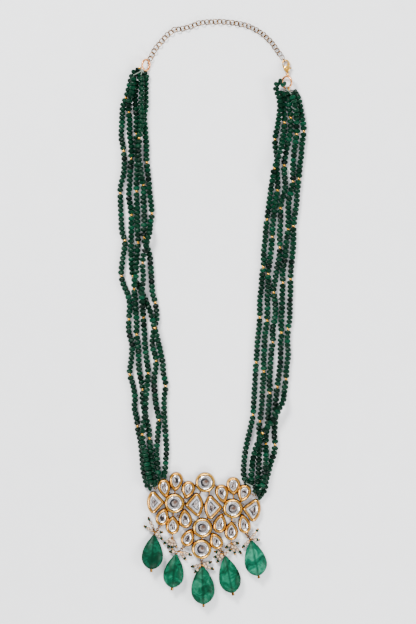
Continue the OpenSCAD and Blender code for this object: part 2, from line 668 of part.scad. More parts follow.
// A point in the plane of a jump ring, r from its middle
function jump_point(j, r, a) =
    let (
        along = [cos(j[4]), sin(j[4]), 0],
        across = [-sin(j[4]) * cos(j[3]), cos(j[4]) * cos(j[3]), sin(j[3])]
    )
    j[0] + r * (cos(a) * along + sin(a) * across);

module thread_path(points) {
    for (i = [0:len(points) - 2]) {
        start = i == 0 ? 0.45 * toward(points[i], points[i + 1]) : [0, 0, 0];
        wire(points[i] + start, points[i + 1], thread_r);
        if (i < len(points) - 2)
            ball(points[i + 1], thread_r + 0.05);
    }
}

// bends is where a thread goes over a setting: the number of its string, and the points
module threads(knot, ends, bends = []) {
    ball(knot, knot_r);
    for (i = [0:len(ends) - 1])
        thread_path(concat([knot], [for (b = bends) if (b[0] == i) each b[1]], [ends[i]]));
}

module jump_threads(j, a, ends) {
    color("darkseagreen") {
        threads(jump_point(j, j[1] + thread_loop_r + 0.55, a), ends);
        translate(j[0])
            rotate([j[3], 0, j[4]])
                rotate(a)
                    translate([j[1], 0, 0])
                        rotate([90, 0, 0])
                            ring(thread_loop_r, 0.2);
    }
}

// Goes through the small ring at t, on the side of it that faces a
module tie_threads(t, a, ends, bends) {
    way = [cos(a), sin(a)];
    color("darkseagreen") {
        threads([each t + (RING[0] + thread_loop_r + 0.55) * way, RING[2] + 0.3], ends, bends);
        translate([each t + RING[0] * way, RING[2]])
            rotate([90, 0, a])
                ring(thread_loop_r, 0.2);
    }
}

module threads_top_left() {
    jump_threads(LEFT_JUMP, left_tie_a, first_ends(LEFT_ROUTES));
}

module threads_top_right() {
    jump_threads(RIGHT_JUMP, right_tie_a, first_ends(RIGHT_ROUTES));
}

module threads_bottom_left() {
    tie_threads(TIES[0], 80, last_ends(LEFT_ROUTES), LEFT_BENDS);
}

module threads_bottom_right() {
    tie_threads(TIES[1], 70, last_ends(RIGHT_ROUTES), RIGHT_BENDS);
}

// Strings: a tube of flat sides swept along each route

function way_at(route, i) =
    toward(lifted(route[max(i - 1, 0)]), lifted(route[min(i + 1, len(route) - 1)]));

module string(route) {
    color(emerald)
        stack([
            for (i = [0:len(route) - 1])
                let (
                    way = way_at(route, i),
                    side = toward([0, 0, 0], cross(way, [0, 0, 1])),
                    down = cross(way, side)
                )
                [
                    for (k = [0:string_sides - 1])
                        let (a = 360 * (k + 0.5) / string_sides)
                        lifted(route[i]) + string_d / 2 * (cos(a) * side + sin(a) * down)
                ]
        ]);
}

pendant_frame();
drop_links();
pearls();
for (i = [1:5]) round_stone(ROUNDS[i - 1]);
for (i = [1:14]) pear_stone(PEARS[i - 1]);
for (i = [1:4]) fan_stone(FANS[i - 1]);
for (i = [1:5]) drop(DROPS[i - 1]);
for (i = [1:5]) head_pin(DROPS[i - 1], SPRAYS[i - 1]);
for (i = [1:5]) string(LEFT_ROUTES[i - 1]);
for (i = [1:5]) string(RIGHT_ROUTES[i - 1]);
threads_top_left();
threads_top_right();
threads_bottom_left();
threads_bottom_right();
left_jump_ring();  // jump_ring_left
right_jump_ring();  // jump_ring_right
chain();
clasp_body();
clasp_lever();
clasp_ring();
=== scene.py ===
import math
import random

import bmesh
import bpy
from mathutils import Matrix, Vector, noise


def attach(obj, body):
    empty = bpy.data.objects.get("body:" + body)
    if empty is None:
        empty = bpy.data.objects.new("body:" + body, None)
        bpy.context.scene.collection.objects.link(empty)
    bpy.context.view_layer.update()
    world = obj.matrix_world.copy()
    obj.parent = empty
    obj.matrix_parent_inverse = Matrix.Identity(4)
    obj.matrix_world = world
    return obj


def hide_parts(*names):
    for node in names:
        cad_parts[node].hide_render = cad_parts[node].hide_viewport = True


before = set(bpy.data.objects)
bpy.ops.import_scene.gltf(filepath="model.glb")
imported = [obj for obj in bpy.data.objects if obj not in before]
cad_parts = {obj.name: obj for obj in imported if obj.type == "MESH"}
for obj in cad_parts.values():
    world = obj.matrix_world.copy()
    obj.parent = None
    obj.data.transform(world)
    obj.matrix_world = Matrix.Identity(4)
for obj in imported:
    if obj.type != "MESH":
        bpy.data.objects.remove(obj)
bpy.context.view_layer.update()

# Lengths below are in millimetres; MM turns them into the frame's metres.
MM = 0.001
BODY = "necklace"
rng = random.Random(7)

# The photograph's frame: millimetres on the ground for each pixel, and the pixel over the origin
PX = 0.65
PX_X, PX_Y = 212.0, 312.5
VIEW_W, VIEW_H = 416, 624


def ground(px, py):
    """A pixel of the photograph as x and y on the ground, in millimetres."""
    return (px - PX_X) * PX, (PX_Y - py) * PX


# Camera, looking straight down

CAMERA_HEIGHT = 1.5
SENSOR = 36.0
CLIP_START = 0.01

cam = bpy.data.cameras.new("camera")
cam.sensor_fit = "VERTICAL"
cam.sensor_height = SENSOR
cam.lens = SENSOR * CAMERA_HEIGHT / (VIEW_H * PX * MM)
cam.clip_start = CLIP_START
camera = bpy.data.objects.new("camera", cam)
centre_x, centre_y = ground(VIEW_W / 2, VIEW_H / 2)
camera.location = (centre_x * MM, centre_y * MM, CAMERA_HEIGHT)
bpy.context.scene.collection.objects.link(camera)
bpy.context.scene.camera = camera


# Light: each lamp's name, place and size in metres, and its power in watts

LAMPS = [
    ("key_light", (-0.55, 0.9, 0.9), (0.5, 0.35), 38),
    ("fill_light", (1.0, -0.2, 0.7), (0.5, 0.5), 14),
    ("front_light", (0.1, -1.1, 0.7), (0.7, 0.3), 14),
]
WORLD_COLOR = (0.93, 0.95, 1, 1)
WORLD_STRENGTH = 0.95


def area_light(name, at, size, power):
    """A lamp aimed at the origin."""
    data = bpy.data.lights.new(name, "AREA")
    data.shape = "RECTANGLE"
    data.size, data.size_y = size
    data.energy = power
    ob = bpy.data.objects.new(name, data)
    ob.location = at
    ob.rotation_euler = (-Vector(at)).to_track_quat("-Z", "Y").to_euler()
    bpy.context.scene.collection.objects.link(ob)


def studio_world():
    """Even, slightly cool light from all sides."""
    world = bpy.data.worlds.new("studio")
    world.use_nodes = True
    back = world.node_tree.nodes["Background"]
    back.inputs["Color"].default_value = WORLD_COLOR
    back.inputs["Strength"].default_value = WORLD_STRENGTH
    bpy.context.scene.world = world


studio_world()
for lamp in LAMPS:
    area_light(*lamp)


# Materials

# How high the bumps stand, in metres
FINE_BUMP = 0.1 * MM
STONE_BUMP = 0.2 * MM
DROP_BUMP = 0.3 * MM
COAT_ROUGHNESS = 0.06


class Shader:
    """A material of one principled shader, with nodes for its colour, gloss and bump."""

    def __init__(self, name, rough=0.3, metal=0.0, coat=0.0, spec=0.5, ior=1.5):
        self.mat = bpy.data.materials.new(name)
        self.mat.use_nodes = True
        self.tree = self.mat.node_tree
        self.bsdf = self.tree.nodes["Principled BSDF"]
        self.set("Roughness", rough)
        self.set("Metallic", metal)
        self.set("Coat Weight", coat)
        self.set("Coat Roughness", COAT_ROUGHNESS)
        self.set("Specular IOR Level", spec)
        self.set("IOR", ior)

    def set(self, socket, value):
        self.bsdf.inputs[socket].default_value = value

    def node(self, kind, **values):
        """A new node; values are its settings or the values of its inputs."""
        n = self.tree.nodes.new(kind)
        for key, value in values.items():
            if hasattr(n, key):
                setattr(n, key, value)
            else:
                n.inputs[key.replace("_", " ")].default_value = value
        return n

    def link(self, a, b):
        self.tree.links.new(a, b)

    def place(self, kind="Object"):
        """Coordinates fixed to the object."""
        return self.node("ShaderNodeTexCoord").outputs[kind]

    def noise(self, scale, detail=3.0, rough=0.5, vector=None, distortion=0.0):
        """Cloudy noise from 0 to 1; scale is in clouds for each metre."""
        n = self.node("ShaderNodeTexNoise", Scale=scale, Detail=detail, Roughness=rough)
        n.inputs["Distortion"].default_value = distortion
        self.link(vector if vector is not None else self.place(), n.inputs["Vector"])
        return n.outputs["Fac"]

    def ramp(self, value, stops):
        """Turns a value into a colour; each stop is a value and its colour."""
        r = self.node("ShaderNodeValToRGB")
        points = r.color_ramp.elements
        while len(points) < len(stops):
            points.new(0.5)
        for point, (at, color) in zip(points, stops):
            point.position = at
            point.color = (*color, 1)
        self.link(value, r.inputs["Fac"])
        return r.outputs["Color"]

    def mix(self, factor, a, b):
        """Goes from a to b as factor goes from 0 to 1; each is a colour or an output."""
        m = self.node("ShaderNodeMix", data_type="RGBA")
        self.link(factor, m.inputs[0])
        for socket, value in ((m.inputs[6], a), (m.inputs[7], b)):
            if isinstance(value, tuple):
                socket.default_value = (*value, 1)
            else:
                self.link(value, socket)
        return m.outputs[2]

    def color(self, output):
        self.link(output, self.bsdf.inputs["Base Color"])

    def roughness(self, value, low, high):
        """Spreads a value from 0 to 1 over a range of roughness."""
        m = self.node("ShaderNodeMapRange")
        m.inputs["To Min"].default_value = low
        m.inputs["To Max"].default_value = high
        self.link(value, m.inputs["Value"])
        self.link(m.outputs[0], self.bsdf.inputs["Roughness"])

    def bump(self, value, strength, distance):
        """Uneven shading from a value; distance is its height in metres."""
        b = self.node("ShaderNodeBump", Strength=strength, Distance=distance)
        self.link(value, b.inputs["Height"])
        self.link(b.outputs["Normal"], self.bsdf.inputs["Normal"])


def green_bead(name, dark, light):
    """Polished green stone, darker and lighter in clouds about half a bead wide."""
    s = Shader(name, spec=0.07)
    s.color(s.ramp(s.noise(700, 4, 0.6), [(0.3, dark), (0.72, light)]))
    s.roughness(s.noise(1500), 0.2, 0.36)
    s.bump(s.noise(2600, 2), 0.25, FINE_BUMP)
    return s.mat


def shades(s, value, stops):
    """A ramp of greys, used as a mask."""
    return s.ramp(value, [(at, (v, v, v)) for at, v in stops])


def facing_up(s):
    """How level a surface is, from 0 on a wall to 1 on a level face, up or down."""
    n = s.node("ShaderNodeNewGeometry")
    split = s.node("ShaderNodeSeparateXYZ")
    s.link(n.outputs["Normal"], split.inputs[0])
    level = s.node("ShaderNodeMath", operation="ABSOLUTE")
    s.link(split.outputs["Z"], level.inputs[0])
    return level.outputs[0]


def gold(name, bright, dull, wall):
    """Plated gold: dull in patches, with painted shade darkening its upright walls."""
    s = Shader(name, metal=1.0)
    face = s.ramp(s.noise(420, 4, 0.6), [(0.35, dull), (0.65, bright)])
    # Painted shade: upright walls take the dark wall colour, level faces keep the gold.
    up = shades(s, facing_up(s), [(0.05, 0), (0.45, 1)])
    s.color(s.mix(up, wall, face))
    s.roughness(s.noise(900, 3), 0.16, 0.34)
    s.bump(s.noise(1800, 3), 0.2, FINE_BUMP)
    return s.mat


# The dark and light tone of each kind of bead, and how often each kind comes
BEAD_TONES = [
    ((0.0001, 0.006, 0.0026), (0.0003, 0.025, 0.011)),
    ((0.0001, 0.0075, 0.0032), (0.0004, 0.034, 0.0145)),
    ((0.0001, 0.004, 0.0018), (0.0003, 0.016, 0.007)),
    ((0.0001, 0.002, 0.0012), (0.0004, 0.008, 0.004)),
    ((0.0002, 0.013, 0.0055), (0.001, 0.055, 0.025)),
]
BEADS = [green_bead(f"bead_green_{i + 1}", *tones) for i, tones in enumerate(BEAD_TONES)]
BEAD_WEIGHTS = [5, 4, 2, 0.6, 0.7]
# Each gold's last colour is the painted shade on its upright walls.
SETTING_ROUND = gold(
    "gold_round", (0.66, 0.37, 0.065), (0.46, 0.22, 0.03), (0.05, 0.018, 0.004))
SETTING_PETAL = gold(
    "gold_petal", (0.68, 0.345, 0.06), (0.44, 0.19, 0.025), (0.05, 0.016, 0.004))
FINE_GOLD = gold("gold_fine", (0.3, 0.14, 0.03), (0.1, 0.04, 0.01), (0.025, 0.01, 0.003))
BRIGHT_GOLD = gold("gold_bright", (1.0, 0.62, 0.12), (0.8, 0.38, 0.045), (0.14, 0.05, 0.008))
SPACER_GOLD = gold("gold_spacer", (0.85, 0.42, 0.05), (0.55, 0.24, 0.02), (0.14, 0.05, 0.006))
ROSE_GOLD = gold("gold_rose", (1.0, 0.46, 0.18), (0.65, 0.25, 0.085), (0.2, 0.07, 0.02))
CHAIN_GOLD = gold(
    "gold_chain", (0.24, 0.135, 0.055), (0.1, 0.05, 0.02), (0.03, 0.014, 0.006))


def foil(name, stops, rough, scale, bump):
    """Glass over foil: what shows is the foil, in patches, under a clear coat."""
    s = Shader(name, rough=rough, metal=0.55, coat=1.0)
    s.color(s.ramp(s.noise(scale, 3, 0.55, distortion=0.6), stops))
    s.bump(s.noise(scale * 1.6, 2), bump, STONE_BUMP)
    return s.mat


def away_from(s, at):
    """How far a point is from at, both as shares of the object's box."""
    gap = s.node("ShaderNodeVectorMath", operation="DISTANCE")
    s.link(s.place("Generated"), gap.inputs[0])
    gap.inputs[1].default_value = at
    return gap.outputs["Value"]


def ragged(s, value, scale, amount):
    """A value made uneven with noise, so that edges cut from it are broken."""
    n = s.node("ShaderNodeMath", operation="MULTIPLY_ADD")
    s.link(s.noise(scale, 3, 0.6), n.inputs[0])
    n.inputs[1].default_value = amount
    s.link(value, n.inputs[2])
    return n.outputs[0]


def table_foil(name):
    """A stone's table before its colour: clear and slightly uneven."""
    s = Shader(name, rough=0.12, metal=0.2, coat=0.35)
    s.bump(s.noise(700, 2), 0.12, STONE_BUMP)
    return s


def round_table():
    """Pale foil with a broken dark ring of painted reflection, deepest on one side as painted
    shade, and a brown spot of painted reflection.
    """
    middle = (0.5, 0.5, 1)
    s = table_foil("stone_table_round")
    base = s.ramp(s.noise(650, 3), [(0.38, (0.12, 0.095, 0.085)), (0.62, (0.34, 0.295, 0.27))])
    # Painted reflection: a brown spot a little off the middle.
    painted_brown_reflection = shades(s, ragged(s, away_from(s, (0.57, 0.57, 1)), 600, 0.3),
                  [(0.24, 0.95), (0.33, 0)])
    warm = s.mix(painted_brown_reflection, base, (0.08, 0.035, 0.016))
    rim = s.mix(shades(s, away_from(s, middle), [(0.3, 0), (0.36, 1)]), warm,
                (0.6, 0.6, 0.61))
    # Painted reflection: a broken dark ring inside the pale rim.
    painted_reflection_ring = shades(s, ragged(s, away_from(s, middle), 700, 0.16),
                       [(0.25, 0), (0.28, 1), (0.39, 1), (0.45, 0)])
    # Painted shade: the dark ring is full on one side and fades to under half elsewhere.
    side = shades(s, ragged(s, away_from(s, (0.2, 0.55, 1)), 500, 0.3), [(0.45, 1), (0.72, 0.45)])
    part = s.node("ShaderNodeMath", operation="MULTIPLY")
    s.link(painted_reflection_ring, part.inputs[0])
    s.link(side, part.inputs[1])
    s.color(s.mix(part.outputs[0], rim, (0.005, 0.005, 0.006)))
    return s.mat


def petal_table():
    """Pale foil with dark and brown strokes of painted reflection along the middle."""
    s = table_foil("stone_table_petal")
    long_way = s.node("ShaderNodeMapping")
    s.link(s.place(), long_way.inputs["Vector"])
    long_way.inputs["Scale"].default_value = (1, 0.4, 1)
    # Painted reflection: dark and brown strokes, stretched one way, on pale foil.
    painted_reflection_strokes = s.ramp(s.noise(1050, 2, 0.5, long_way.outputs[0]), [
        (0.44, (0.004, 0.003, 0.003)), (0.49, (0.07, 0.03, 0.02)), (0.55, (0.26, 0.22, 0.2)),
        (0.65, (0.55, 0.53, 0.52)),
    ])
    edge = shades(s, ragged(s, away_from(s, (0.5, 0.5, 1)), 600, 0.2), [(0.36, 0), (0.5, 1)])
    s.color(s.mix(edge, painted_reflection_strokes, (0.5, 0.5, 0.51)))
    return s.mat


STONE_EDGE = foil(
    "stone_edge", [(0.3, (0.36, 0.36, 0.38)), (0.62, (0.8, 0.8, 0.82))], 0.1, 500, 0.1)
# Painted shadow: a dark ring on the inside of each stone's bevel.
STONE_SHADOW_RING = foil(
    "stone_shadow_ring", [(0.42, (0.008, 0.008, 0.008)), (0.66, (0.26, 0.26, 0.26))], 0.12, 700, 0.2)
ROUND_TABLE = round_table()
PETAL_TABLE = petal_table()


def drop_stone(name, deep, mid, pale, shift):
    """Cloudy green stone with pale veins and a dark core; shift moves the clouds."""
    s = Shader(name, rough=0.36, spec=0.1, ior=1.35)
    place = s.node("ShaderNodeMapping")
    s.link(s.place(), place.inputs["Vector"])
    place.inputs["Location"].default_value = (shift, shift, 0)
    clouds = s.noise(150, 6, 0.62, place.outputs[0], 1.2)
    stone = s.ramp(clouds, [(0.32, deep), (0.5, mid), (0.7, pale)])
    core = s.node("ShaderNodeAttribute", attribute_name="core")
    s.color(s.mix(core.outputs["Fac"], stone, deep))
    s.bump(s.noise(420, 4, 0.6, place.outputs[0]), 0.2, DROP_BUMP)
    return s.mat


def pearl():
    """Cream pearl, with painted brown shade toward its upright sides."""
    s = Shader("pearl", rough=0.25, spec=0.4)
    face = s.ramp(s.noise(900, 2), [(0.35, (0.3, 0.19, 0.11)), (0.65, (0.62, 0.47, 0.32))])
    # Painted shade: the upright sides turn dark brown.
    up = shades(s, facing_up(s), [(0.45, 0), (0.93, 1)])
    s.color(s.mix(up, (0.085, 0.038, 0.016), face))
    s.set("Sheen Weight", 0.2)
    s.bump(s.noise(1500, 2), 0.1, FINE_BUMP)
    return s.mat


def thread():
    """Pale twisted thread; the bump is its twist."""
    s = Shader("thread", rough=0.7)
    s.color(s.ramp(s.noise(2500, 2), [(0.35, (0.08, 0.11, 0.085)), (0.65, (0.25, 0.3, 0.25))]))
    s.bump(s.noise(5000, 2), 0.5, FINE_BUMP)
    return s.mat


PEARL = pearl()
THREAD = thread()


# Meshes, built from plain lists of points in millimetres

class Build:
    """Gathers points and faces for one piece; every face keeps the number of its material."""

    def __init__(self):
        self.points = []
        self.faces = []
        self.slots = []

    def rows(self, rows, slot=0, closed=False, caps=True, slots=None):
        """Joins each row of points to the next; slots gives a material for each band."""
        n = len(rows[0])
        bands = len(rows) if closed else len(rows) - 1
        base = len(self.points)
        self.points += [tuple(p) for r in rows for p in r]
        for j in range(bands):
            a, b = base + j * n, base + (j + 1) % len(rows) * n
            for i in range(n):
                k = (i + 1) % n
                self.faces.append((a + i, a + k, b + k, b + i))
                self.slots.append(slots[j] if slots else slot)
        if caps and not closed:
            last = base + (len(rows) - 1) * n
            self.faces.append(tuple(base + i for i in reversed(range(n))))
            self.faces.append(tuple(last + i for i in range(n)))
            self.slots += [slots[0] if slots else slot, slots[-1] if slots else slot]

    def piece(self, name, materials, slot, smooth=30):
        """The piece as an object; edges sharper than smooth, in degrees, stay sharp.

        Nothing goes below the floor."""
        mesh = bpy.data.meshes.new(name)
        points = [(x * MM, y * MM, max(z, 0.0) * MM) for x, y, z in self.points]
        mesh.from_pydata(points, [], self.faces)
        for m in materials:
            mesh.materials.append(m)
        mesh.polygons.foreach_set("material_index", self.slots)
        mesh.validate()
        ob = bpy.data.objects.new(name, mesh)
        bpy.context.scene.collection.objects.link(ob)
        if smooth:
            mesh.shade_smooth()
            mesh.set_sharp_from_angle(angle=math.radians(smooth))
        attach(ob, BODY)
        return ob


def across(way):
    """Two directions at right angles to way, the second as near to up as can be."""
    way = way.normalized()
    side = way.cross(Vector((0, 0, 1)))
    if side.length < 0.05:
        side = Vector((1, 0, 0))
    side.normalize()
    return side, side.cross(way)


def around_way(side, up, angle):
    """A direction at right angles to a way, at an angle round it."""
    return math.cos(angle) * side + math.sin(angle) * up


def tube(build, path, radius, sides=6, slot=0):
    """A round wire along a path of points."""
    rows = []
    for i, p in enumerate(path):
        way = path[min(i + 1, len(path) - 1)] - path[max(i - 1, 0)]
        side, up = across(way)
        rows.append([p + radius * around_way(side, up, math.tau * -k / sides)
                     for k in range(sides)])
    build.rows(rows, slot)


def ring(build, at, axis, radius, wire, around=20, sides=8, slot=0):
    """A closed ring of round wire; radius is to the middle of the wire."""
    side, up = across(Vector(axis))
    rows = []
    for i in range(around):
        out = around_way(side, up, math.tau * i / around)
        rows.append([
            Vector(at) + (radius + wire * math.cos(math.tau * k / sides)) * out
            + wire * math.sin(math.tau * k / sides) * Vector(axis).normalized()
            for k in range(sides)
        ])
    build.rows(rows, slot, closed=True)


def bead(build, at, way, profile, sides, turn=0.0, slot=0, tall=1.0):
    """A body turned about way; profile gives pairs of distance along it and radius.

    tall is its height over its width."""
    way = way.normalized()
    side, up = across(way)
    rows = []
    for j, (along, radius) in enumerate(profile):
        rows.append([])
        for k in range(sides):
            a = -(math.tau * (k + 0.5 * (j % 2)) / sides + turn)
            rows[-1].append(at + along * way
                            + radius * (math.cos(a) * side + tall * math.sin(a) * up))
    build.rows(rows, slot)


def mirrored(half):
    """A whole profile from the half past its middle."""
    return [(-along, radius) for along, radius in reversed(half)] + half


def rondelle(radius, length):
    """Profile of a faceted rondelle: two bands of facets on each side of its girdle."""
    h = length / 2
    return mirrored([(h * 0.24, radius), (h * 0.72, radius * 0.82), (h, radius * 0.44)])


def ball_profile(radius, rows=6):
    """Profile of a ball with a small flat at each end."""
    return [
        (-radius * math.cos(math.pi * (j + 0.25) / (rows - 0.5)),
         radius * math.sin(math.pi * (j + 0.25) / (rows - 0.5)))
        for j in range(rows)
    ]


# Routes of the strings, from the clasp end down: x, y, and how high the string is lifted
# where it rides over another
LEFT_ROUTES = [
    [[-49.5, 157.5], [-51.5, 154.5], [-53, 150], [-54.5, 144], [-56, 139], [-58, 133],
     [-58.5, 123], [-59, 114.5], [-58, 109], [-57, 99], [-57.5, 90], [-59.5, 81], [-59.5, 72.5],
     [-59, 62], [-58.5, 52.5], [-56.5, 46], [-57.5, 38], [-58.5, 31], [-59, 24.5], [-57.5, 18],
     [-55, 12.5], [-53.5, 5], [-54, -4], [-54, -12.5], [-52, -21], [-52.5, -31], [-53.5, -39.5],
     [-51.5, -46.5], [-50, -55.5], [-50.5, -62], [-49, -68.5], [-48, -76.5], [-46.5, -83.5],
     [-45.5, -92.5], [-45, -100], [-44, -105.5], [-42.5, -111.5], [-41, -113.5]],
    [[-51, 153, 3.6], [-51, 148, 3.6], [-52, 142, 3.6], [-53.5, 137, 3.6], [-54, 130.5],
     [-53.5, 124], [-53.5, 116], [-52.5, 107.5], [-52.5, 100.5], [-53, 92.5], [-53.5, 83.5],
     [-54, 74.5], [-52.5, 65.5], [-52.5, 55], [-52.5, 44], [-52.5, 35], [-52, 27.5], [-51, 22.5],
     [-48.5, 18.5], [-46, 13.5], [-43, 7.5], [-40, 0.5, 3.6], [-38.5, -5.5, 3.6],
     [-37, -10.5, 3.6], [-35, -18, 3.6], [-33.5, -25], [-32, -32], [-31.5, -40], [-30, -47],
     [-31, -55.5], [-31, -64], [-30.5, -72], [-30, -80.5], [-29.5, -88.5], [-30, -96],
     [-30.5, -102.5], [-31, -105.5]],
    [[-48.5, 151], [-49.5, 146], [-50, 139.5], [-49.5, 133], [-49, 126], [-49, 118.5],
     [-49, 113.5], [-48.5, 107.5], [-48.5, 101], [-48.5, 92.5], [-49, 83.5], [-49, 74.5],
     [-48.5, 65.5], [-48.5, 56], [-48, 47], [-48.5, 39.5], [-49, 31, 3.6], [-49, 25, 3.6],
     [-50, 20, 3.6], [-50.5, 15.5, 3.6], [-50, 9.5], [-49.5, 2.5], [-49, -5], [-49, -13.5],
     [-48, -22], [-47.5, -29], [-47.5, -36.5], [-46, -44.5], [-45, -51], [-45, -57],
     [-44, -63.5], [-42.5, -70], [-41, -76.5], [-40.5, -83], [-40, -89.5], [-39.5, -96.5],
     [-39, -103.5], [-38.5, -110.5]],
    [[-46, 153, 3.6], [-45.5, 146.5, 3.6], [-45.5, 140, 3.6], [-46, 133.5, 3.6],
     [-45.5, 127, 3.6], [-46, 120.5, 3.6], [-47, 114.5, 3.6], [-47.5, 108, 3.6],
     [-47.5, 101, 3.6], [-46.5, 94, 3.6], [-45.5, 87.5, 3.6], [-44.5, 81.5], [-44.5, 74],
     [-44, 65.5], [-44, 56], [-44, 49], [-43, 44], [-41, 39.5], [-40, 33.5], [-39.5, 26.5],
     [-39, 19], [-38.5, 12.5], [-37, 7], [-36, 1], [-36, -5], [-37.5, -10.5], [-38.5, -16.5],
     [-38.5, -23], [-36.5, -29.5], [-36.5, -35.5], [-37.5, -44], [-37, -53.5], [-36, -62],
     [-34.5, -69], [-35, -76.5], [-35.5, -83.5], [-36, -90.5], [-35.5, -98], [-35, -105.5]],
    [[-43, 153], [-43, 147], [-43, 140.5], [-43, 134], [-44, 127.5], [-43.5, 121], [-43, 114.5],
     [-42.5, 107.5], [-42.5, 100.5], [-42, 94], [-41, 86], [-40.5, 78.5], [-39.5, 70.5],
     [-39, 64], [-40, 57.5], [-40.5, 51.5, 3.6], [-42, 46.5, 3.6], [-43, 41.5, 3.6],
     [-44.5, 36, 3.6], [-45, 30, 3.6], [-44.5, 23.5, 3.6], [-45, 17, 3.6], [-45.5, 10.5, 3.6],
     [-45, 3.5, 3.6], [-44.5, -3.5], [-44, -12], [-43.5, -21], [-42.5, -30], [-41.5, -38.5],
     [-42, -46.5, 3.6], [-42.5, -53.5, 3.6], [-43, -60, 3.6], [-43.5, -66.5, 3.6],
     [-44.5, -73, 3.6], [-45, -79, 3.6], [-45, -85, 3.6], [-43.5, -90.5, 3.6],
     [-42.5, -96.5, 3.6], [-41.5, -102.5, 3.6], [-40.5, -108, 3.6], [-40, -111.5, 3.6]],
]
RIGHT_ROUTES = [
    [[47.5, 146.5, 3.4], [44.5, 149.5, 3.4], [42, 148, 3.4], [41.5, 144.5, 3.4],
     [43, 140.5, 3.4], [44, 135, 3.4], [43.5, 128.5, 3.4], [42.5, 121], [41, 114], [41, 108],
     [42, 101.5], [42, 94], [42.5, 86], [42.5, 78.5], [41, 72], [40.5, 65.5], [39.5, 57.5],
     [39, 49.5], [38.5, 41.5], [37.5, 33], [36.5, 25], [36.5, 16.5], [36, 8], [36, -0.5],
     [35.5, -7.5], [34.5, -14.5], [34, -23.5], [33.5, -32], [33.5, -39.5], [33, -47],
     [32.5, -55.5], [32, -63.5], [31, -70.5], [30.5, -77.5], [31, -85], [30.5, -92], [30.5, -99],
     [30, -106.5], [29.3, -114.3]],
    [[46, 143], [46, 138], [46.5, 131.5], [47, 126], [47, 120.5], [46, 114], [45, 108, 3.6],
     [43.5, 102.5, 3.6], [42, 98, 3.6], [40, 92.5, 3.6], [39, 85.5, 3.6], [38, 78.5], [37, 71],
     [36, 63.5], [35, 55.5], [34.5, 48], [33.5, 40], [33.5, 31.5], [32.5, 24.5], [32, 16],
     [31, 7.5], [31, -1], [30.5, -9.5], [29.5, -18], [29, -26.5], [28.5, -34], [28, -42.5],
     [27.5, -51], [27, -59.5], [26.5, -67.5], [25, -74.5], [23.5, -81], [22, -88], [21, -94.5],
     [20.5, -101], [20.5, -105], [21.5, -109.5]],
    [[50, 140], [50, 135.5], [51, 129.5], [51, 124], [51, 117.5], [49.5, 111], [48, 103.5],
     [47, 97], [47, 90.5], [47.5, 83.5], [47, 77.5], [45, 72], [44.5, 66], [44.5, 59], [44, 51],
     [44, 43], [43.5, 35.5], [42, 27.5], [41, 20.5], [40, 14], [41, 6], [41, -2.5],
     [39.5, -10.5], [39.5, -18.5], [38.5, -25.5], [38, -34], [37.5, -42.5], [37.5, -51],
     [37, -59], [36.5, -66.5], [36, -74], [35, -80.5], [35, -87.5], [35, -94.5, 3.4],
     [34.5, -101.5, 3.4], [33.5, -108, 3.4], [32, -113.5, 3.4]],
    [[51.5, 141, 3.4], [53.5, 136, 3.4], [54.5, 130.5, 3.4], [55, 124], [55, 116.5], [54, 109],
     [53, 101], [52.5, 93.5], [52.5, 85.5], [51.5, 79], [50, 73], [49.5, 66], [49.5, 58],
     [49, 50.5], [48, 42.5], [47.5, 35], [46, 27], [46, 19], [45.5, 11.5], [45.5, 3], [45, -5.5],
     [45, -13.5], [44.5, -21], [44.5, -28.5], [44, -36], [43, -44], [42, -51], [41.5, -58],
     [41, -65.5], [41, -72.5], [40.5, -79], [41, -86], [40, -92.5], [38, -98.5], [36.5, -104.5],
     [35, -109.5], [34.5, -114], [33, -117.5]],
    [[53.5, 143.5], [55.5, 140.5], [56.5, 137.5], [57.5, 133], [58.5, 127], [59.5, 121],
     [59.5, 115.5], [58.5, 109], [58, 101.5], [57, 94.5], [56.5, 87.5], [55.5, 79.5], [55, 72],
     [54, 64], [53, 56], [53, 48.5], [52.5, 39.5], [51.5, 30], [51, 22], [51, 13.5], [50.5, 5],
     [50.5, -3.5], [49.5, -10.5], [49, -18.5], [49.5, -27], [48.5, -35.5], [48, -44], [47, -51],
     [46, -57.5, 3.6], [43.5, -62.5, 3.6], [41, -67.5, 3.6], [38, -71.5, 3.6], [35, -75.5, 3.6],
     [32.5, -78.5, 3.6], [30.5, -83, 3.6], [28.5, -87, 3.6], [27, -92.5, 3.6], [26, -100],
     [25.5, -106.5], [25.5, -110]],
]


# Strings of beads

STRING_R = 1.75
BEAD_PITCH = 2.93
BEAD_GAP = 0.06
BEAD_TALL = 0.8
BEAD_WIDER = (1.18, 1.28)
# Spread of a bead's lean from its string, across and upward
BEAD_LEAN, BEAD_LEAN_UP = 0.04, 0.03
BEAD_SIDES = 10
# Degrees between two faces from which the edge between them stays sharp
FACET_ANGLE = 12
END_GAP = 0.3
SPACER_R = 1.05
SPACER_L = 1.35
THREAD_R = 0.22

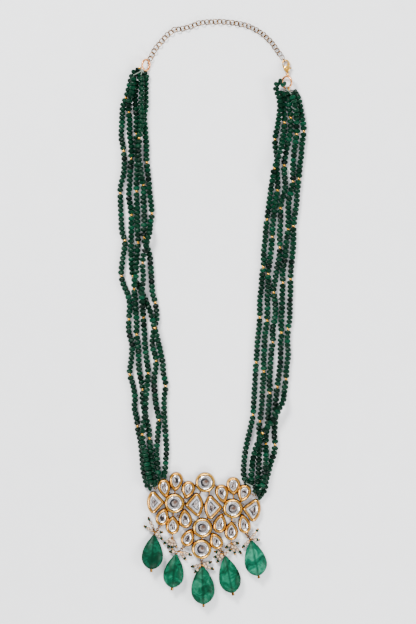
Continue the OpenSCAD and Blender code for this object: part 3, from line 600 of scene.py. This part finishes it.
# The gold spacer beads of each string, as pixels of the photograph, from the top down
LEFT_SPACERS = [
    [(125.6, 97.7), (124, 151), (119.8, 193.6), (125.8, 240.4), (120.3, 276.4), (128.2, 319.4),
     (129.4, 374.7), (137.9, 425.8)],
    [(128.8, 112.5), (133, 159.3), (131.3, 215), (131.9, 276.4), (155.5, 328), (166.3, 386.1)],
    [(137, 134), (136.5, 191.9), (137.9, 242.8), (133.7, 288.5), (136.6, 334.6), (142.9, 390),
     (149.7, 438.5)],
    [(139.5, 139), (143.5, 185), (144.2, 238), (155.4, 303.2), (157.3, 360.9), (159.5, 420)],
    [(145.9, 163), (152.4, 213.3), (142.9, 263.2), (143.2, 317.5), (148.4, 373.4),
     (142.1, 433.8)],
]
RIGHT_SPACERS = [
    [(274.7, 139.9), (277.7, 190.5), (271.9, 237.1), (268.2, 274.2), (268, 320.9), (264.5, 371.2),
     (259.9, 420.7)],
    [(286, 122.7), (273.8, 168.9), (266.4, 219.6), (263.2, 267.1), (260.2, 316.9), (256, 362.4),
     (252.9, 414.3)],
    [(291, 117.8), (283.1, 165.8), (280, 208.2), (280.6, 247.9), (273.6, 292.4), (273.2, 342.1),
     (270, 392.9), (265.8, 443.2)],
    [(296.6, 134.3), (292.7, 181.4), (288.1, 229.2), (283.1, 282.5), (281.7, 332.4),
     (276.1, 386.5), (275.1, 444.6)],
    [(303.4, 131.6), (298, 179), (293.6, 226.1), (290.6, 279.4), (287.4, 329.2), (286.2, 379),
     (261.8, 432.1)],
]


def smooth_path(points, step=0.4):
    """A smooth curve through the points, as points about a step apart."""
    path = []
    ends = [points[0]] + points + [points[-1]]
    for i in range(len(points) - 1):
        a, b, c, d = ends[i:i + 4]
        n = max(2, round((c - b).length / step))
        for k in range(n):
            t = k / n
            path.append(0.5 * (
                2 * b + (c - a) * t + (2 * a - 5 * b + 4 * c - d) * t * t
                + (3 * b - a - 3 * c + d) * t ** 3
            ))
    return path + [points[-1]]


class Way:
    """A path measured along its length."""

    # Half of the stretch of the path that a direction is taken over
    REACH = 0.8

    def __init__(self, path):
        self.path = path
        self.run = [0.0]
        for a, b in zip(path, path[1:]):
            self.run.append(self.run[-1] + (b - a).length)
        self.length = self.run[-1]

    def at(self, s):
        """The place this far along the path."""
        s = min(max(s, 0.0), self.length)
        lo, hi = 0, len(self.run) - 1
        while hi - lo > 1:
            mid = (lo + hi) // 2
            if self.run[mid] <= s:
                lo = mid
            else:
                hi = mid
        t = (s - self.run[lo]) / max(self.run[hi] - self.run[lo], 1e-9)
        return self.path[lo].lerp(self.path[hi], t)

    def direction(self, s):
        """The path's unit direction this far along it."""
        return (self.at(s + self.REACH) - self.at(s - self.REACH)).normalized()

    def nearest(self, x, y):
        """How far along the path its point nearest to x and y is."""
        i = min(range(len(self.path)),
                key=lambda k: (self.path[k].x - x) ** 2 + (self.path[k].y - y) ** 2)
        return self.run[i]


def string_way(route):
    """The middle of a string, which lies on the floor where it isn't lifted."""
    return Way(smooth_path([Vector((*p[:2], STRING_R + sum(p[2:]))) for p in route]))


def bead_runs(way, spacers):
    """Start and end of each run of beads between the gold spacers."""
    marks = sorted(way.nearest(*ground(*p)) for p in spacers)
    edges = [0.0] + marks + [way.length]
    runs = []
    for i in range(len(edges) - 1):
        start = edges[i] + (SPACER_L / 2 if i else END_GAP)
        end = edges[i + 1] - (SPACER_L / 2 if i < len(edges) - 2 else END_GAP)
        runs.append((start, end))
    return runs, marks


def make_string(side, number, route, spacers):
    """Beads, gold spacers and the thread of one string."""
    way = string_way(route)
    runs, marks = bead_runs(way, spacers)
    beads = Build()
    for start, end in runs:
        count = max(1, round((end - start) / BEAD_PITCH))
        pitch = (end - start) / count
        for i in range(count):
            s = start + (i + 0.5) * pitch
            radius = STRING_R * rng.uniform(*BEAD_WIDER)
            shade = rng.choices(range(len(BEADS)), BEAD_WEIGHTS)[0]
            lean = Vector((rng.gauss(0, BEAD_LEAN), rng.gauss(0, BEAD_LEAN),
                           rng.gauss(0, BEAD_LEAN_UP)))
            bead(beads, way.at(s), way.direction(s) + lean,
                 rondelle(radius, pitch - BEAD_GAP), BEAD_SIDES, rng.uniform(0, 1), shade,
                 BEAD_TALL)
    name = f"{side}_{number}"
    ob = beads.piece(f"beads_{name}", BEADS, "green_beads", FACET_ANGLE)
    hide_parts(f"string_{name}")
    extras = Build()
    tube(extras, way.path[::4] + [way.path[-1]], THREAD_R, 5, 1)
    h = SPACER_L / 2
    spacer = mirrored([(h * 0.25, SPACER_R), (h * 0.75, 0.86), (h, 0.5)])
    for s in marks:
        bead(extras, way.at(s), way.direction(s), spacer, 12)
    extras.piece(f"spacers_{name}", [SPACER_GOLD, THREAD], "clasp_gold")


for i, (route, spacers) in enumerate(zip(LEFT_ROUTES, LEFT_SPACERS)):
    make_string("left", i + 1, route, spacers)
for i, (route, spacers) in enumerate(zip(RIGHT_ROUTES, RIGHT_SPACERS)):
    make_string("right", i + 1, route, spacers)


# Beads past the strings' ends, where the threads gather: the knot as a pixel of the photograph,
# then each bead as a pixel and a height in millimetres

END_BEADS = {
    (155.5, 487.7): [
        (160, 475.9, 2.4), (157.6, 479, 2.6), (154.4, 477.2, 3.4), (154.9, 481, 2.9),
        (151.5, 483.8, 3.4), (154.4, 484.6, 3.2), (150, 487.6, 1.8), (164.3, 476, 1.8),
    ],
    (254.3, 494.5): [
        (246.8, 481.9, 1.8), (251.4, 482.7, 1.8), (254.8, 487, 2.2), (255.2, 491, 2.6),
        (259.6, 489.6, 2.6), (261.3, 487, 3.4), (258.1, 493.6, 3.2), (260.1, 497, 1.8),
        (262.6, 493.8, 1.8), (257.6, 490.2, 4),
    ],
    (143, 68): [(137.6, 70.6, 2.4), (141.2, 72.2, 3), (144.9, 73.4, 2.4), (139.4, 75, 3.4),
                (143, 76.9, 3.2), (146.6, 77, 1.9), (136.9, 74.4, 1.9), (139.8, 78.8, 2.6)],
    (289.4, 88): [(281.6, 93.2, 2), (285, 94.6, 2.8), (288.4, 93.6, 3.2), (291.6, 94.2, 3),
                  (294.6, 92, 2.2), (288, 97.8, 2), (291.6, 98, 2), (297, 95.6, 1.9)],
}
END_BEAD_R = 1.14 * STRING_R
END_BEAD_L = 2.5


def make_end_beads():
    """The crowded beads, each strung toward its knot."""
    beads = Build()
    profile = rondelle(END_BEAD_R, END_BEAD_L)
    for knot, places in END_BEADS.items():
        for px, py, z in places:
            at = Vector((*ground(px, py), z))
            way = Vector((*ground(*knot), z)) - at + Vector((0.01, rng.uniform(-2, 2), 0))
            bead(beads, at, way, profile, BEAD_SIDES, rng.uniform(0, 1), rng.randrange(4),
                 BEAD_TALL)
    beads.piece("end_beads", BEADS, "green_beads", FACET_ANGLE)


make_end_beads()


# The pendant's settings and stones, with the same values as the solids. A petal is its tip,
# its round end and its width; a fan is its tip, its angle, its depth and its height. The
# numbers after them tell which round setting each one is soldered to.

RIM_H = 3.6
RIM_W = 1.6
PLATE_H = 1.2
ROUND_R = 6.4
OUTLINE_POINTS = 56
FACETS = 24
ROUNDS = [(-4.4, -110.3), (-24.4, -123.8), (13.5, -127.2), (-6.2, -139.7), (-6.8, -153.6)]
PEARS = [
    (-29.9, -120.1, -31.9, -108.2, 8.1),
    (-24.1, -116, -22.8, -103.7, 8.8),
    (-16.9, -120.9, -14.3, -109.5, 8.5),
    (-30.3, -127, -33.8, -138.1, 8.6),
    (-25.4, -132, -25.7, -144, 8.8),
    (-17.9, -127.7, -16.9, -139.8, 8.8),
    (7.9, -123.7, 5.2, -111.8, 8.5),
    (14, -118.6, 13.7, -106.9, 9),
    (18.9, -122.9, 22.4, -111.8, 8.5),
    (6.5, -130.7, 3.9, -143, 8.5),
    (12.7, -135.5, 12.4, -147.9, 8.8),
    (19.5, -131, 22.1, -143.3, 8.1),
    (-13.3, -140.7, -17.9, -151.5, 8.5),
    (0, -143, 4.9, -153.4, 8.5),
]
FANS = [
    (-31.2, -123.2, 180, 11, 14.3),
    (-17.2, -125.1, 3, 11.5, 15),
    (6.5, -126.4, 180, 11.5, 15.3),
    (20.2, -127.1, -10, 11.4, 14.8),
]
PEAR_ROUNDS = [1, 1, 1, 1, 1, 1, 2, 2, 2, 2, 2, 2, 3, 3]
FAN_ROUNDS = [1, 1, 2, 2]
# A fan's middle, as a share of its depth, and how far past the wall its stone would shrink to
# nothing, as a share of its height
FAN_MIDDLE = 0.64
FAN_SHRINK = 0.16
WIRE_Z = 0.7
WIRE_R = 0.45
TIE_WIRE_R = 0.3
WIRES = [
    (-7, -114.8, -8.6, -119.6), (-1.8, -114.8, -1.9, -119.9), (-9.6, -111.6, -12.8, -112.4),
    (0.8, -112.2, 4.2, -113.4), (-7.4, -125.4, -3, -125.5), (-8.6, -130.4, -8, -135.4),
    (-2.2, -131.2, -4, -135.2), (-6.3, -144.6, -6.6, -149),
]
TIE_WIRES = [(-34.2, -113.7, -35.8, -113.8), (24.4, -117.6, 26.7, -118.1)]
TIES = [(-36.7, -113.9), (27.5, -118.3)]
# Small wire links that show in the gaps between the settings, as pixels of the photograph
GAP_LINK_Z = 1.1
GAP_LINK_WIRE = 0.2
GAP_LINKS = [
    (171, 488), (182, 490), (194.5, 486), (164.5, 502), (184.5, 502), (168, 517), (178, 516),
    (193, 520), (204, 505), (228, 492), (237.5, 493), (242, 504), (221, 511), (235, 523),
    (212, 522),
]


def turned(points, x, y, angle):
    """Flat points turned by angle and moved to x and y."""
    c, s = math.cos(angle), math.sin(angle)
    return [(x + u * c - v * s, y + u * s + v * c) for u, v in points]


def round_outline(c, inset, n):
    """n points of a round setting's outline, moved in by inset; the others do the same."""
    r = ROUND_R - inset
    return [(c[0] + r * math.cos(math.tau * i / n), c[1] + r * math.sin(math.tau * i / n))
            for i in range(n)]


def bulge(t):
    """Half the width of a pear shape as t goes round it, before it is scaled."""
    return math.sin(t) * math.sin(t / 2) ** 0.55


MOST_BULGE = max(bulge(math.radians(t)) for t in range(1, 180))


def pear_outline(p, inset, n):
    """From the tip, where inset counts for more than at the round end, and back to it."""
    length = math.hypot(p[2] - p[0], p[3] - p[1])
    inner = length - 2.4 * inset
    points = []
    for i in range(n):
        t = math.tau * i / n
        side = bulge(math.tau - t) if t > math.pi else -bulge(t)
        points.append((1.4 * inset + inner * (1 - math.cos(t)) / 2,
                       (p[4] / 2 - inset) * side / MOST_BULGE))
    return turned(points, p[0], p[1], math.atan2(p[3] - p[1], p[2] - p[0]))


def arc(at, r, start, end, n):
    """An arc of n steps, with both of its ends."""
    return [(at[0] + r * math.cos(start + (end - start) * i / n),
             at[1] + r * math.sin(start + (end - start) * i / n)) for i in range(n + 1)]


def fan_outline(f, inset, n):
    """Three arcs joined by straight sides; n is shared out between them."""
    depth, height = f[3], f[4]
    tip_r, corner_r, back = 2.0, 2.4, 4.0
    cx, cy = depth - back, height / 2 - corner_r
    base_r = (back ** 2 + cy ** 2 - corner_r ** 2) / (2 * (back - corner_r))
    base_x = depth - base_r
    side = math.hypot(cx - tip_r, cy)
    tangent = math.atan2(cy, cx - tip_r) + math.acos((tip_r - corner_r) / side)
    base = math.atan2(cy, cx - base_x)
    tip_n, corner_n, base_n = n // 8, n // 5, n // 8
    upper = (
        arc((tip_r, 0), tip_r - inset, math.pi, tangent, tip_n)
        + arc((cx, cy), corner_r - inset, tangent, base, corner_n)
        + arc((base_x, 0), base_r - inset, base, 0, base_n)[1:]
    )
    lower = [(x, -y) for x, y in upper]
    points = lower + upper[-2:0:-1]
    return turned(points, f[0], f[1], math.radians(f[2]))


def fan_row(f, inset, n):
    """Past its setting's wall a fan keeps its shape and only gets smaller round its middle."""
    wall = min(inset, RIM_W + 0.1)
    share = 1 - (inset - wall) / (FAN_SHRINK * f[4])
    angle, reach = math.radians(f[2]), FAN_MIDDLE * f[3]
    mx, my = f[0] + reach * math.cos(angle), f[1] + reach * math.sin(angle)
    return [(mx + share * (x - mx), my + share * (y - my)) for x, y in fan_outline(f, wall, n)]


# Rows of a setting and of a stone, each with its inset from the outline and its height
SECTION = [
    (-0.2, 0), (-0.2, 1.4), (-0.08, 2.4), (0.14, 3.1), (0.42, 3.5), (0.8, RIM_H), (1.2, 3.42),
    (1.42, 3.05), (1.54, 2.3), (1.73, 2.3), (1.73, PLATE_H),
]
STONE_SECTION = [(1.74, 1.3), (1.74, 2.6), (2.1, 3.08), (2.5, 3.26), (2.9, 3.36)]
# The last band of the bevel takes the second material, a ring of painted shadow.
STONE_SLOTS = [0, 0, 0, 1]


def flat(outline, z):
    """The outline at a height."""
    return [(x, y, z) for x, y in outline]


def stone(name, outline, shape, table):
    """A stone with a bevel, a thin inner ring of painted shadow and a flat table."""
    b = Build()
    rows = [flat(outline(shape, inset, FACETS), z) for inset, z in STONE_SECTION]
    b.rows(rows, caps=False, slots=STONE_SLOTS)
    n = len(rows[0])
    last = (len(rows) - 1) * n
    b.faces += [tuple(reversed(range(n))), tuple(last + i for i in range(n))]
    b.slots += [0, 2]
    ob = b.piece(f"set_{name}", [STONE_EDGE, STONE_SHADOW_RING, table], "set_stones", smooth=0)
    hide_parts(name)


def toward(a, b):
    """The direction from a to b."""
    return (b - a).normalized()


def bar(build, a, b, z, radius):
    """A straight wire at one height, of the third material."""
    tube(build, [Vector((*a, z)), Vector((*b, z))], radius, 8, 2)


RING_R, RING_WIRE, RING_Z, RING_OUT = 0.85, 0.25, 1.4, 0.6
# Each drop: its ring's place on the setting, the drop's upper and lower ends, and its width
DROPS = [
    (-33.8, -138.1, -37.7, -144.6, -39.3, -166.4, 13.5),
    (-17.9, -151.5, -23.4, -157, -25.9, -178.3, 13),
    (-6.8, -160.2, -6.5, -164.4, -5.5, -189, 15),
    (4.9, -153.4, 8.5, -158.3, 13.4, -181.6, 13.7),
    (22.1, -143.3, 25.4, -148.2, 30.1, -170.5, 14.1),
]


def pendant_frame():
    """Settings, and the wires and rings soldered between them, as one piece of metal."""
    b = Build()
    for c in ROUNDS:
        b.rows([flat(round_outline(c, i, OUTLINE_POINTS), z) for i, z in SECTION], 0)
    for p in PEARS:
        b.rows([flat(pear_outline(p, i, OUTLINE_POINTS), z) for i, z in SECTION], 1)
    for f in FANS:
        b.rows([flat(fan_outline(f, i, OUTLINE_POINTS), z) for i, z in SECTION], 1)
    ways = [toward(Vector(p[:2]), Vector(p[2:4])) for p in PEARS]
    ways += [Vector((math.cos(a), math.sin(a))) for a in (math.radians(f[2]) for f in FANS)]
    for shape, number, way in zip(PEARS + FANS, PEAR_ROUNDS + FAN_ROUNDS, ways):
        c = Vector(ROUNDS[number])
        tip = Vector(shape[:2])
        bar(b, c + (ROUND_R - 1.2) * toward(c, tip), tip + 1.6 * way, WIRE_Z, WIRE_R)
    for w in WIRES:
        bar(b, w[:2], w[2:], WIRE_Z, WIRE_R)
    for w in TIE_WIRES:
        bar(b, w[:2], w[2:], RING_Z, TIE_WIRE_R)
    for t in TIES:
        ring(b, (*t, RING_Z), (0, 0, 1), RING_R, RING_WIRE, slot=2)
    for d in DROPS:
        edge, top = Vector(d[:2]), Vector(d[2:4])
        ring(b, (*(edge + RING_OUT * toward(edge, top)), RING_Z), (0, 0, 1),
             RING_R, RING_WIRE, slot=2)
    for px, py in GAP_LINKS:
        tilt = (rng.uniform(-0.5, 0.5), rng.uniform(-0.5, 0.5), 1)
        ring(b, (*ground(px, py), GAP_LINK_Z), tilt, rng.uniform(0.7, 1.0), GAP_LINK_WIRE,
             slot=2)
    ob = b.piece("pendant_settings", [SETTING_ROUND, SETTING_PETAL, FINE_GOLD], "pendant_gold")
    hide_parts("pendant_frame")


pendant_frame()
for i, c in enumerate(ROUNDS):
    stone(f"stone_round_{i + 1}", round_outline, c, ROUND_TABLE)
for i, p in enumerate(PEARS):
    stone(f"stone_pear_{i + 1}", pear_outline, p, PETAL_TABLE)
for i, f in enumerate(FANS):
    stone(f"stone_fan_{i + 1}", fan_row, f, PETAL_TABLE)


# Drops

DROP_T = 7.0
DROP_EXTRA = 0.2
DROP_SIDES = 36
DROP_STEP = 0.035
DENT, DENT_SCALE = 0.12, 0.22
CORE_SHADE, CORE_WIDTH = 0.75, 1 / 9
DROP_TOP_Z = 2.3
DROP_TILT = math.radians(5)
# How far along a drop, and how wide it is there as a share of its width
DROP_PROFILE = [
    (0, 0.14), (0.08, 0.29), (0.2, 0.56), (0.35, 0.8), (0.5, 0.95), (0.62, 1),
    (0.72, 0.98), (0.82, 0.86), (0.91, 0.64), (0.97, 0.38), (1, 0.16),
]
# The deep, middle and pale tone of each drop
DEEP, MID = (0.0004, 0.016, 0.007), (0.002, 0.06, 0.028)
DROP_TONES = [
    (DEEP, (0.001, 0.032, 0.015), (0.005, 0.085, 0.045)),
    (DEEP, MID, (0.016, 0.17, 0.095)),
    (DEEP, (0.003, 0.06, 0.029), (0.018, 0.16, 0.09)),
    (DEEP, MID, (0.013, 0.15, 0.083)),
    ((0.0008, 0.03, 0.015), (0.004, 0.085, 0.045), (0.03, 0.22, 0.13)),
]
DROP_LOOKS = [drop_stone(f"drop_green_{i + 1}", *tones, 0.05 * i)
              for i, tones in enumerate(DROP_TONES)]


def make_drop(i, d):
    """A drop with soft dents, darker over its core; gives its direction, top and length."""
    top = Vector((d[2], d[3], DROP_TOP_Z))
    flat_way = toward(Vector(d[2:4]), Vector(d[4:6]))
    way = Vector((*(flat_way * math.cos(DROP_TILT)), math.sin(DROP_TILT)))
    length = math.hypot(d[4] - d[2], d[5] - d[3]) / math.cos(DROP_TILT)
    side = way.cross(Vector((0, 0, 1))).normalized()
    up = side.cross(way)
    profile = smooth_path([Vector((t, w, 0)) for t, w in DROP_PROFILE], DROP_STEP)
    rows, core = [], []
    for t, w, _ in profile:
        rows.append([])
        for k in range(DROP_SIDES):
            a = -math.tau * k / DROP_SIDES
            p = (top + t * length * way + (d[6] / 2 + DROP_EXTRA) * w * math.cos(a) * side
                 + DROP_T / 2 * w * math.sin(a) * up)
            dent = noise.noise(p * DENT_SCALE) * DENT * w
            rows[-1].append(p - dent * around_way(side, up, a))
            core.append(max(0.0, 1 - abs(w * math.cos(a)) / CORE_WIDTH) * CORE_SHADE)
    b = Build()
    b.rows(rows)
    ob = b.piece(f"green_drop_{i + 1}", [DROP_LOOKS[i]], "green_drops", smooth=60)
    shade = ob.data.attributes.new("core", "FLOAT", "POINT")
    shade.data.foreach_set("value", core)
    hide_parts(f"drop_{i + 1}")
    return way, top, length


# Sprays: the knot, then for each wire its end and how far along it the pearl of the solids is,
# as a share of its length, or 0 for none

SPRAYS = [
    [(-36.9, -142.6, 3.2), (-41.3, -133.4, 1.6, 0.66), (-43.9, -138.8, 1.2, 0.6),
     (-32.3, -142.5, 3.2, 0), (-32.4, -147.2, 1.6, 0.6)],
    [(-21.3, -154.7, 3.5), (-13.6, -157.4, 1.6, 0.68), (-17.2, -160.4, 1.4, 0.64),
     (-27.4, -155.4, 1.6, 0)],
    [(-6.5, -163.7, 3.4), (-13.3, -165, 1.5, 0.52), (-11.2, -168.6, 2.8, 0),
     (-0.6, -162, 1.6, 0.6), (0.8, -166.6, 1.6, 0.62)],
    [(7.6, -157.1, 3.2), (1.9, -154.9, 4.6, 0), (1.4, -158.8, 1.6, 0.62),
     (3.2, -162, 1.5, 0.56), (12.4, -153.8, 1.6, 0.56)],
    [(24.8, -147.3, 3.3), (29.8, -140.8, 1.6, 0.5), (19.9, -152.4, 1.5, 0.6),
     (30.4, -147.6, 1.8, 0)],
    [(-25.8, -146, 1.5), (-31.2, -150.2, 1.2, 0.62), (-28.7, -152.9, 1.2, 0.6),
     (-25.9, -153.6, 1.2, 0.62), (-23.2, -152.2, 1.2, 0.76)],
    [(12.5, -149.9, 1.5), (9, -152.6, 1.5, 0), (15, -157, 1.2, 0.6),
     (18.8, -156.2, 1.2, 0.66), (17.2, -149.8, 1.3, 0)],
]
SPRAY_WIRE = 0.42
SEED_R, SEED_L = 1.1, 1.3
TIP_BALL_R = 0.8
KNOT_R = 0.7
KNOT_LOOP_R, KNOT_LOOP_WIRE = 0.62, 0.14
WRAP_R, WRAP_WIRE = 0.3, 0.1
WRAP_START = 0.45
# How far the wrap ends before a pearl or a seed bead, and where the second pearl sits
WRAP_TO_PEARL, WRAP_TO_SEED = 1.1, 1.5
BEFORE_PEARL, BEFORE_TIP = 2.15, 2.5
# The least room on a wire for a second pearl
ROOM_BEFORE_PEARL, ROOM_ON_WIRE = 3.3, 3.8
SMALL_PEARL_R = (1.15, 1.3)
# Where the wires of the last two sprays are soldered to their petals
PETAL_SPRAYS = [(-25.7, -143.2), (12.4, -147.1)]
PETAL_SPRAY_Z = 1.2
PETAL_WIRE = 0.35
# Profiles of the gold disc past a pearl, and of a drop's end cap
DISC = mirrored([(0.08, 0.42), (0.14, 0.3)])
END_CAP = [(-0.7, 0.6), (-0.6, 0.9), (1.1, 0.9), (1.25, 0.7), (1.3, 0.3)]


def coil(build, a, b, radius, wire, turns):
    """A wire wrapped round the line from a to b."""
    side, up = across(b - a)
    n = turns * 10
    path = [a + (b - a) * i / n + radius * around_way(side, up, math.tau * i / 10)
            for i in range(n + 1)]
    tube(build, path, wire, 5)


def small_pearl(pearls, at, way):
    """A pearl that the solids don't have, kept on the floor."""
    radius = rng.uniform(*SMALL_PEARL_R)
    at = Vector((at.x, at.y, max(at.z, radius)))
    bead(pearls, at, way, ball_profile(radius, 8), 14)


def dress_spray(seeds, metal, pearls, spray):
    """Seed beads near the wires' ends, wire twists, and a second pearl where there is room."""
    knot = Vector(spray[0])
    for x, y, z, pearl_at in spray[1:]:
        tip = Vector((x, y, z))
        way = (tip - knot).normalized()
        length = (tip - knot).length
        bead(seeds, tip - 1.05 * way, way, rondelle(SEED_R, SEED_L), BEAD_SIDES)
        bead(metal, tip, way, ball_profile(TIP_BALL_R), 10)
        if pearl_at:
            s = pearl_at * length
            bead(metal, knot + (s + 1.16) * way, way, DISC, 10)
            end = max(2 * WRAP_START, s - WRAP_TO_PEARL)
            coil(metal, knot + WRAP_START * way, knot + end * way, WRAP_R, WRAP_WIRE, 3)
            if s > ROOM_BEFORE_PEARL:
                small_pearl(pearls, knot + (s - BEFORE_PEARL) * way, way)
        else:
            coil(metal, knot + WRAP_START * way, tip - WRAP_TO_SEED * way,
                 WRAP_R, WRAP_WIRE, 4)
            if length > ROOM_ON_WIRE:
                small_pearl(pearls, tip - BEFORE_TIP * way, way)


def make_sprays():
    """The sprays' wires, wraps, seed beads and small pearls, and the drops' end caps."""
    seeds, metal, pearls = Build(), Build(), Build()
    for i, spray in enumerate(SPRAYS):
        dress_spray(seeds, metal, pearls, spray)
        knot = Vector(spray[0])
        for _ in range(3):
            axis = (rng.uniform(-1, 1), rng.uniform(-1, 1), rng.uniform(0.2, 1))
            ring(metal, knot, axis, KNOT_LOOP_R, KNOT_LOOP_WIRE, 14, 6)
        for tip in spray[1:]:
            tube(metal, [knot, Vector(tip[:3])], SPRAY_WIRE, 8)
        bead(metal, knot, Vector((1, 0, 0)), ball_profile(KNOT_R), 12)
        if i >= len(DROPS):
            start = Vector((*PETAL_SPRAYS[i - len(DROPS)], PETAL_SPRAY_Z))
            tube(metal, [start, knot], PETAL_WIRE, 8)
        else:
            way, top, length = DROP_WAYS[i]
            coil(metal, top - 1.1 * way, top - 0.15 * way, 0.42, 0.12, 3)
            end = top + (length + 0.12) * way
            bead(metal, end + 0.5 * way, way, END_CAP, 14)
    seeds.piece("seed_beads", [BEADS[1]], "green_beads", FACET_ANGLE)
    metal.piece("spray_wraps", [FINE_GOLD], "pendant_gold")
    pearls.piece("small_pearls", [PEARL], "pearl")


DROP_WAYS = [make_drop(i, d) for i, d in enumerate(DROPS)]
make_sprays()


# Fine metal and thread, a little thicker than the solids so that it reads as in the photograph

def dress_node(node, material):
    """Gives a solid of the frame its finish."""
    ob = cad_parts[node]
    ob.data.materials.clear()
    ob.data.materials.append(material)


# The chain's end link keeps its own thickness, so the open lever clears it
END_LINK = Vector((*ground(284, 60.5), 0)) * MM
END_LINK_REACH = 3 * MM
SAME_POINT = 0.01 * MM
SOLID_SHARP = math.radians(40)


def growth(co):
    """How much of the extra thickness a point gets, from 0 to 1."""
    return min(max((Vector((co.x, co.y, 0)) - END_LINK).length / END_LINK_REACH - 1, 0), 1)


def thicker(node, by, material):
    """The node's own surface, moved out by a small amount."""
    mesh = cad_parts[node].data.copy()
    mesh.transform(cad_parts[node].matrix_world)
    shape = bmesh.new()
    shape.from_mesh(mesh)
    bmesh.ops.remove_doubles(shape, verts=shape.verts, dist=SAME_POINT)
    shape.normal_update()
    moves = [v.co + by * growth(v.co) * MM * v.normal for v in shape.verts]
    for v, co in zip(shape.verts, moves):
        v.co = (co.x, co.y, max(co.z, 0.0))
    shape.to_mesh(mesh)
    shape.free()
    mesh.materials.clear()
    mesh.materials.append(material)
    mesh.shade_smooth()
    mesh.set_sharp_from_angle(angle=SOLID_SHARP)
    ob = bpy.data.objects.new(f"{node}_surface", mesh)
    bpy.context.scene.collection.objects.link(ob)
    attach(ob, BODY)
    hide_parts(node)


# Start of the nodes' names, how much thicker they get, their finish and its slot
THICKER = [
    ("threads", 0.1, THREAD, "thread"),
    ("jump_ring", 0.3, ROSE_GOLD, "rose_gold"),
    ("clasp_ring", 0.12, BRIGHT_GOLD, "clasp_gold"),
    ("drop_pin", 0.08, FINE_GOLD, "pendant_gold"),
    ("drop_links", 0.1, FINE_GOLD, "pendant_gold"),
    ("pearls", 0.12, PEARL, "pearl"),
    ("chain", 0.13, CHAIN_GOLD, "chain_gold"),
]
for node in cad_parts:
    for start, by, material, slot in THICKER:
        if node.startswith(start):
            thicker(node, by, material)
for node in ("clasp_body", "clasp_lever"):
    dress_node(node, BRIGHT_GOLD)


# Crimp beads on the threads by the jump rings: place, direction, radius and length

CRIMPS = [
    ((-46.9, 158.7, 2.2), (-0.4, -1, 0), 1.0, 1.7),
    ((-44.3, 155.5, 2.2), (0, -1, 0), 1.0, 1.7),
    ((49.5, 144.8, 2.6), (0.1, -1, 0), 1.1, 1.9),
]


def make_crimps():
    """Barrel shaped crimps."""
    metal = Build()
    for at, way, radius, length in CRIMPS:
        h = length / 2
        profile = mirrored([(h * 0.3, radius), (h * 0.8, radius * 0.8), (h, 0.45)])
        bead(metal, Vector(at), Vector(way), profile, 14)
    metal.piece("crimps", [BRIGHT_GOLD], "pendant_gold")


make_crimps()


# The clasp's boss, with its top's middle and radius

CLASP_AT = Vector((48.5, 158.1, 2.6))
BOSS_R = 1.9
RIVET = [(0.25, 0.55), (0.36, 0.52), (0.44, 0.38), (0.46, 0.15)]


def make_clasp_dome():
    """A low dome and the rivet's head on the clasp's boss."""
    metal = Build()
    up = Vector((0, 0, 1))
    bead(metal, CLASP_AT, up, [(-0.05, BOSS_R), (0.04, BOSS_R), (0.14, 0.9 * BOSS_R),
                               (0.24, 0.68 * BOSS_R), (0.3, 0.35 * BOSS_R)], 40)
    bead(metal, CLASP_AT, up, RIVET, 20)
    metal.piece("clasp_dome", [BRIGHT_GOLD], "clasp_gold", smooth=45)


make_clasp_dome()


# Floor

FLOOR_HALF = 3.0


def floor_piece():
    """A sheet of pale paper under the necklace."""
    s = Shader("floor_paper", rough=0.75, spec=0.2)
    s.color(s.ramp(s.noise(60, 2), [(0.3, (0.9, 0.9, 0.9)), (0.7, (0.92, 0.92, 0.92))]))
    mesh = bpy.data.meshes.new("floor")
    corners = ((-1, -1), (1, -1), (1, 1), (-1, 1))
    mesh.from_pydata([(x * FLOOR_HALF, y * FLOOR_HALF, 0) for x, y in corners],
                     [], [(0, 1, 2, 3)])
    mesh.materials.append(s.mat)
    ob = bpy.data.objects.new("floor", mesh)
    bpy.context.scene.collection.objects.link(ob)


floor_piece()
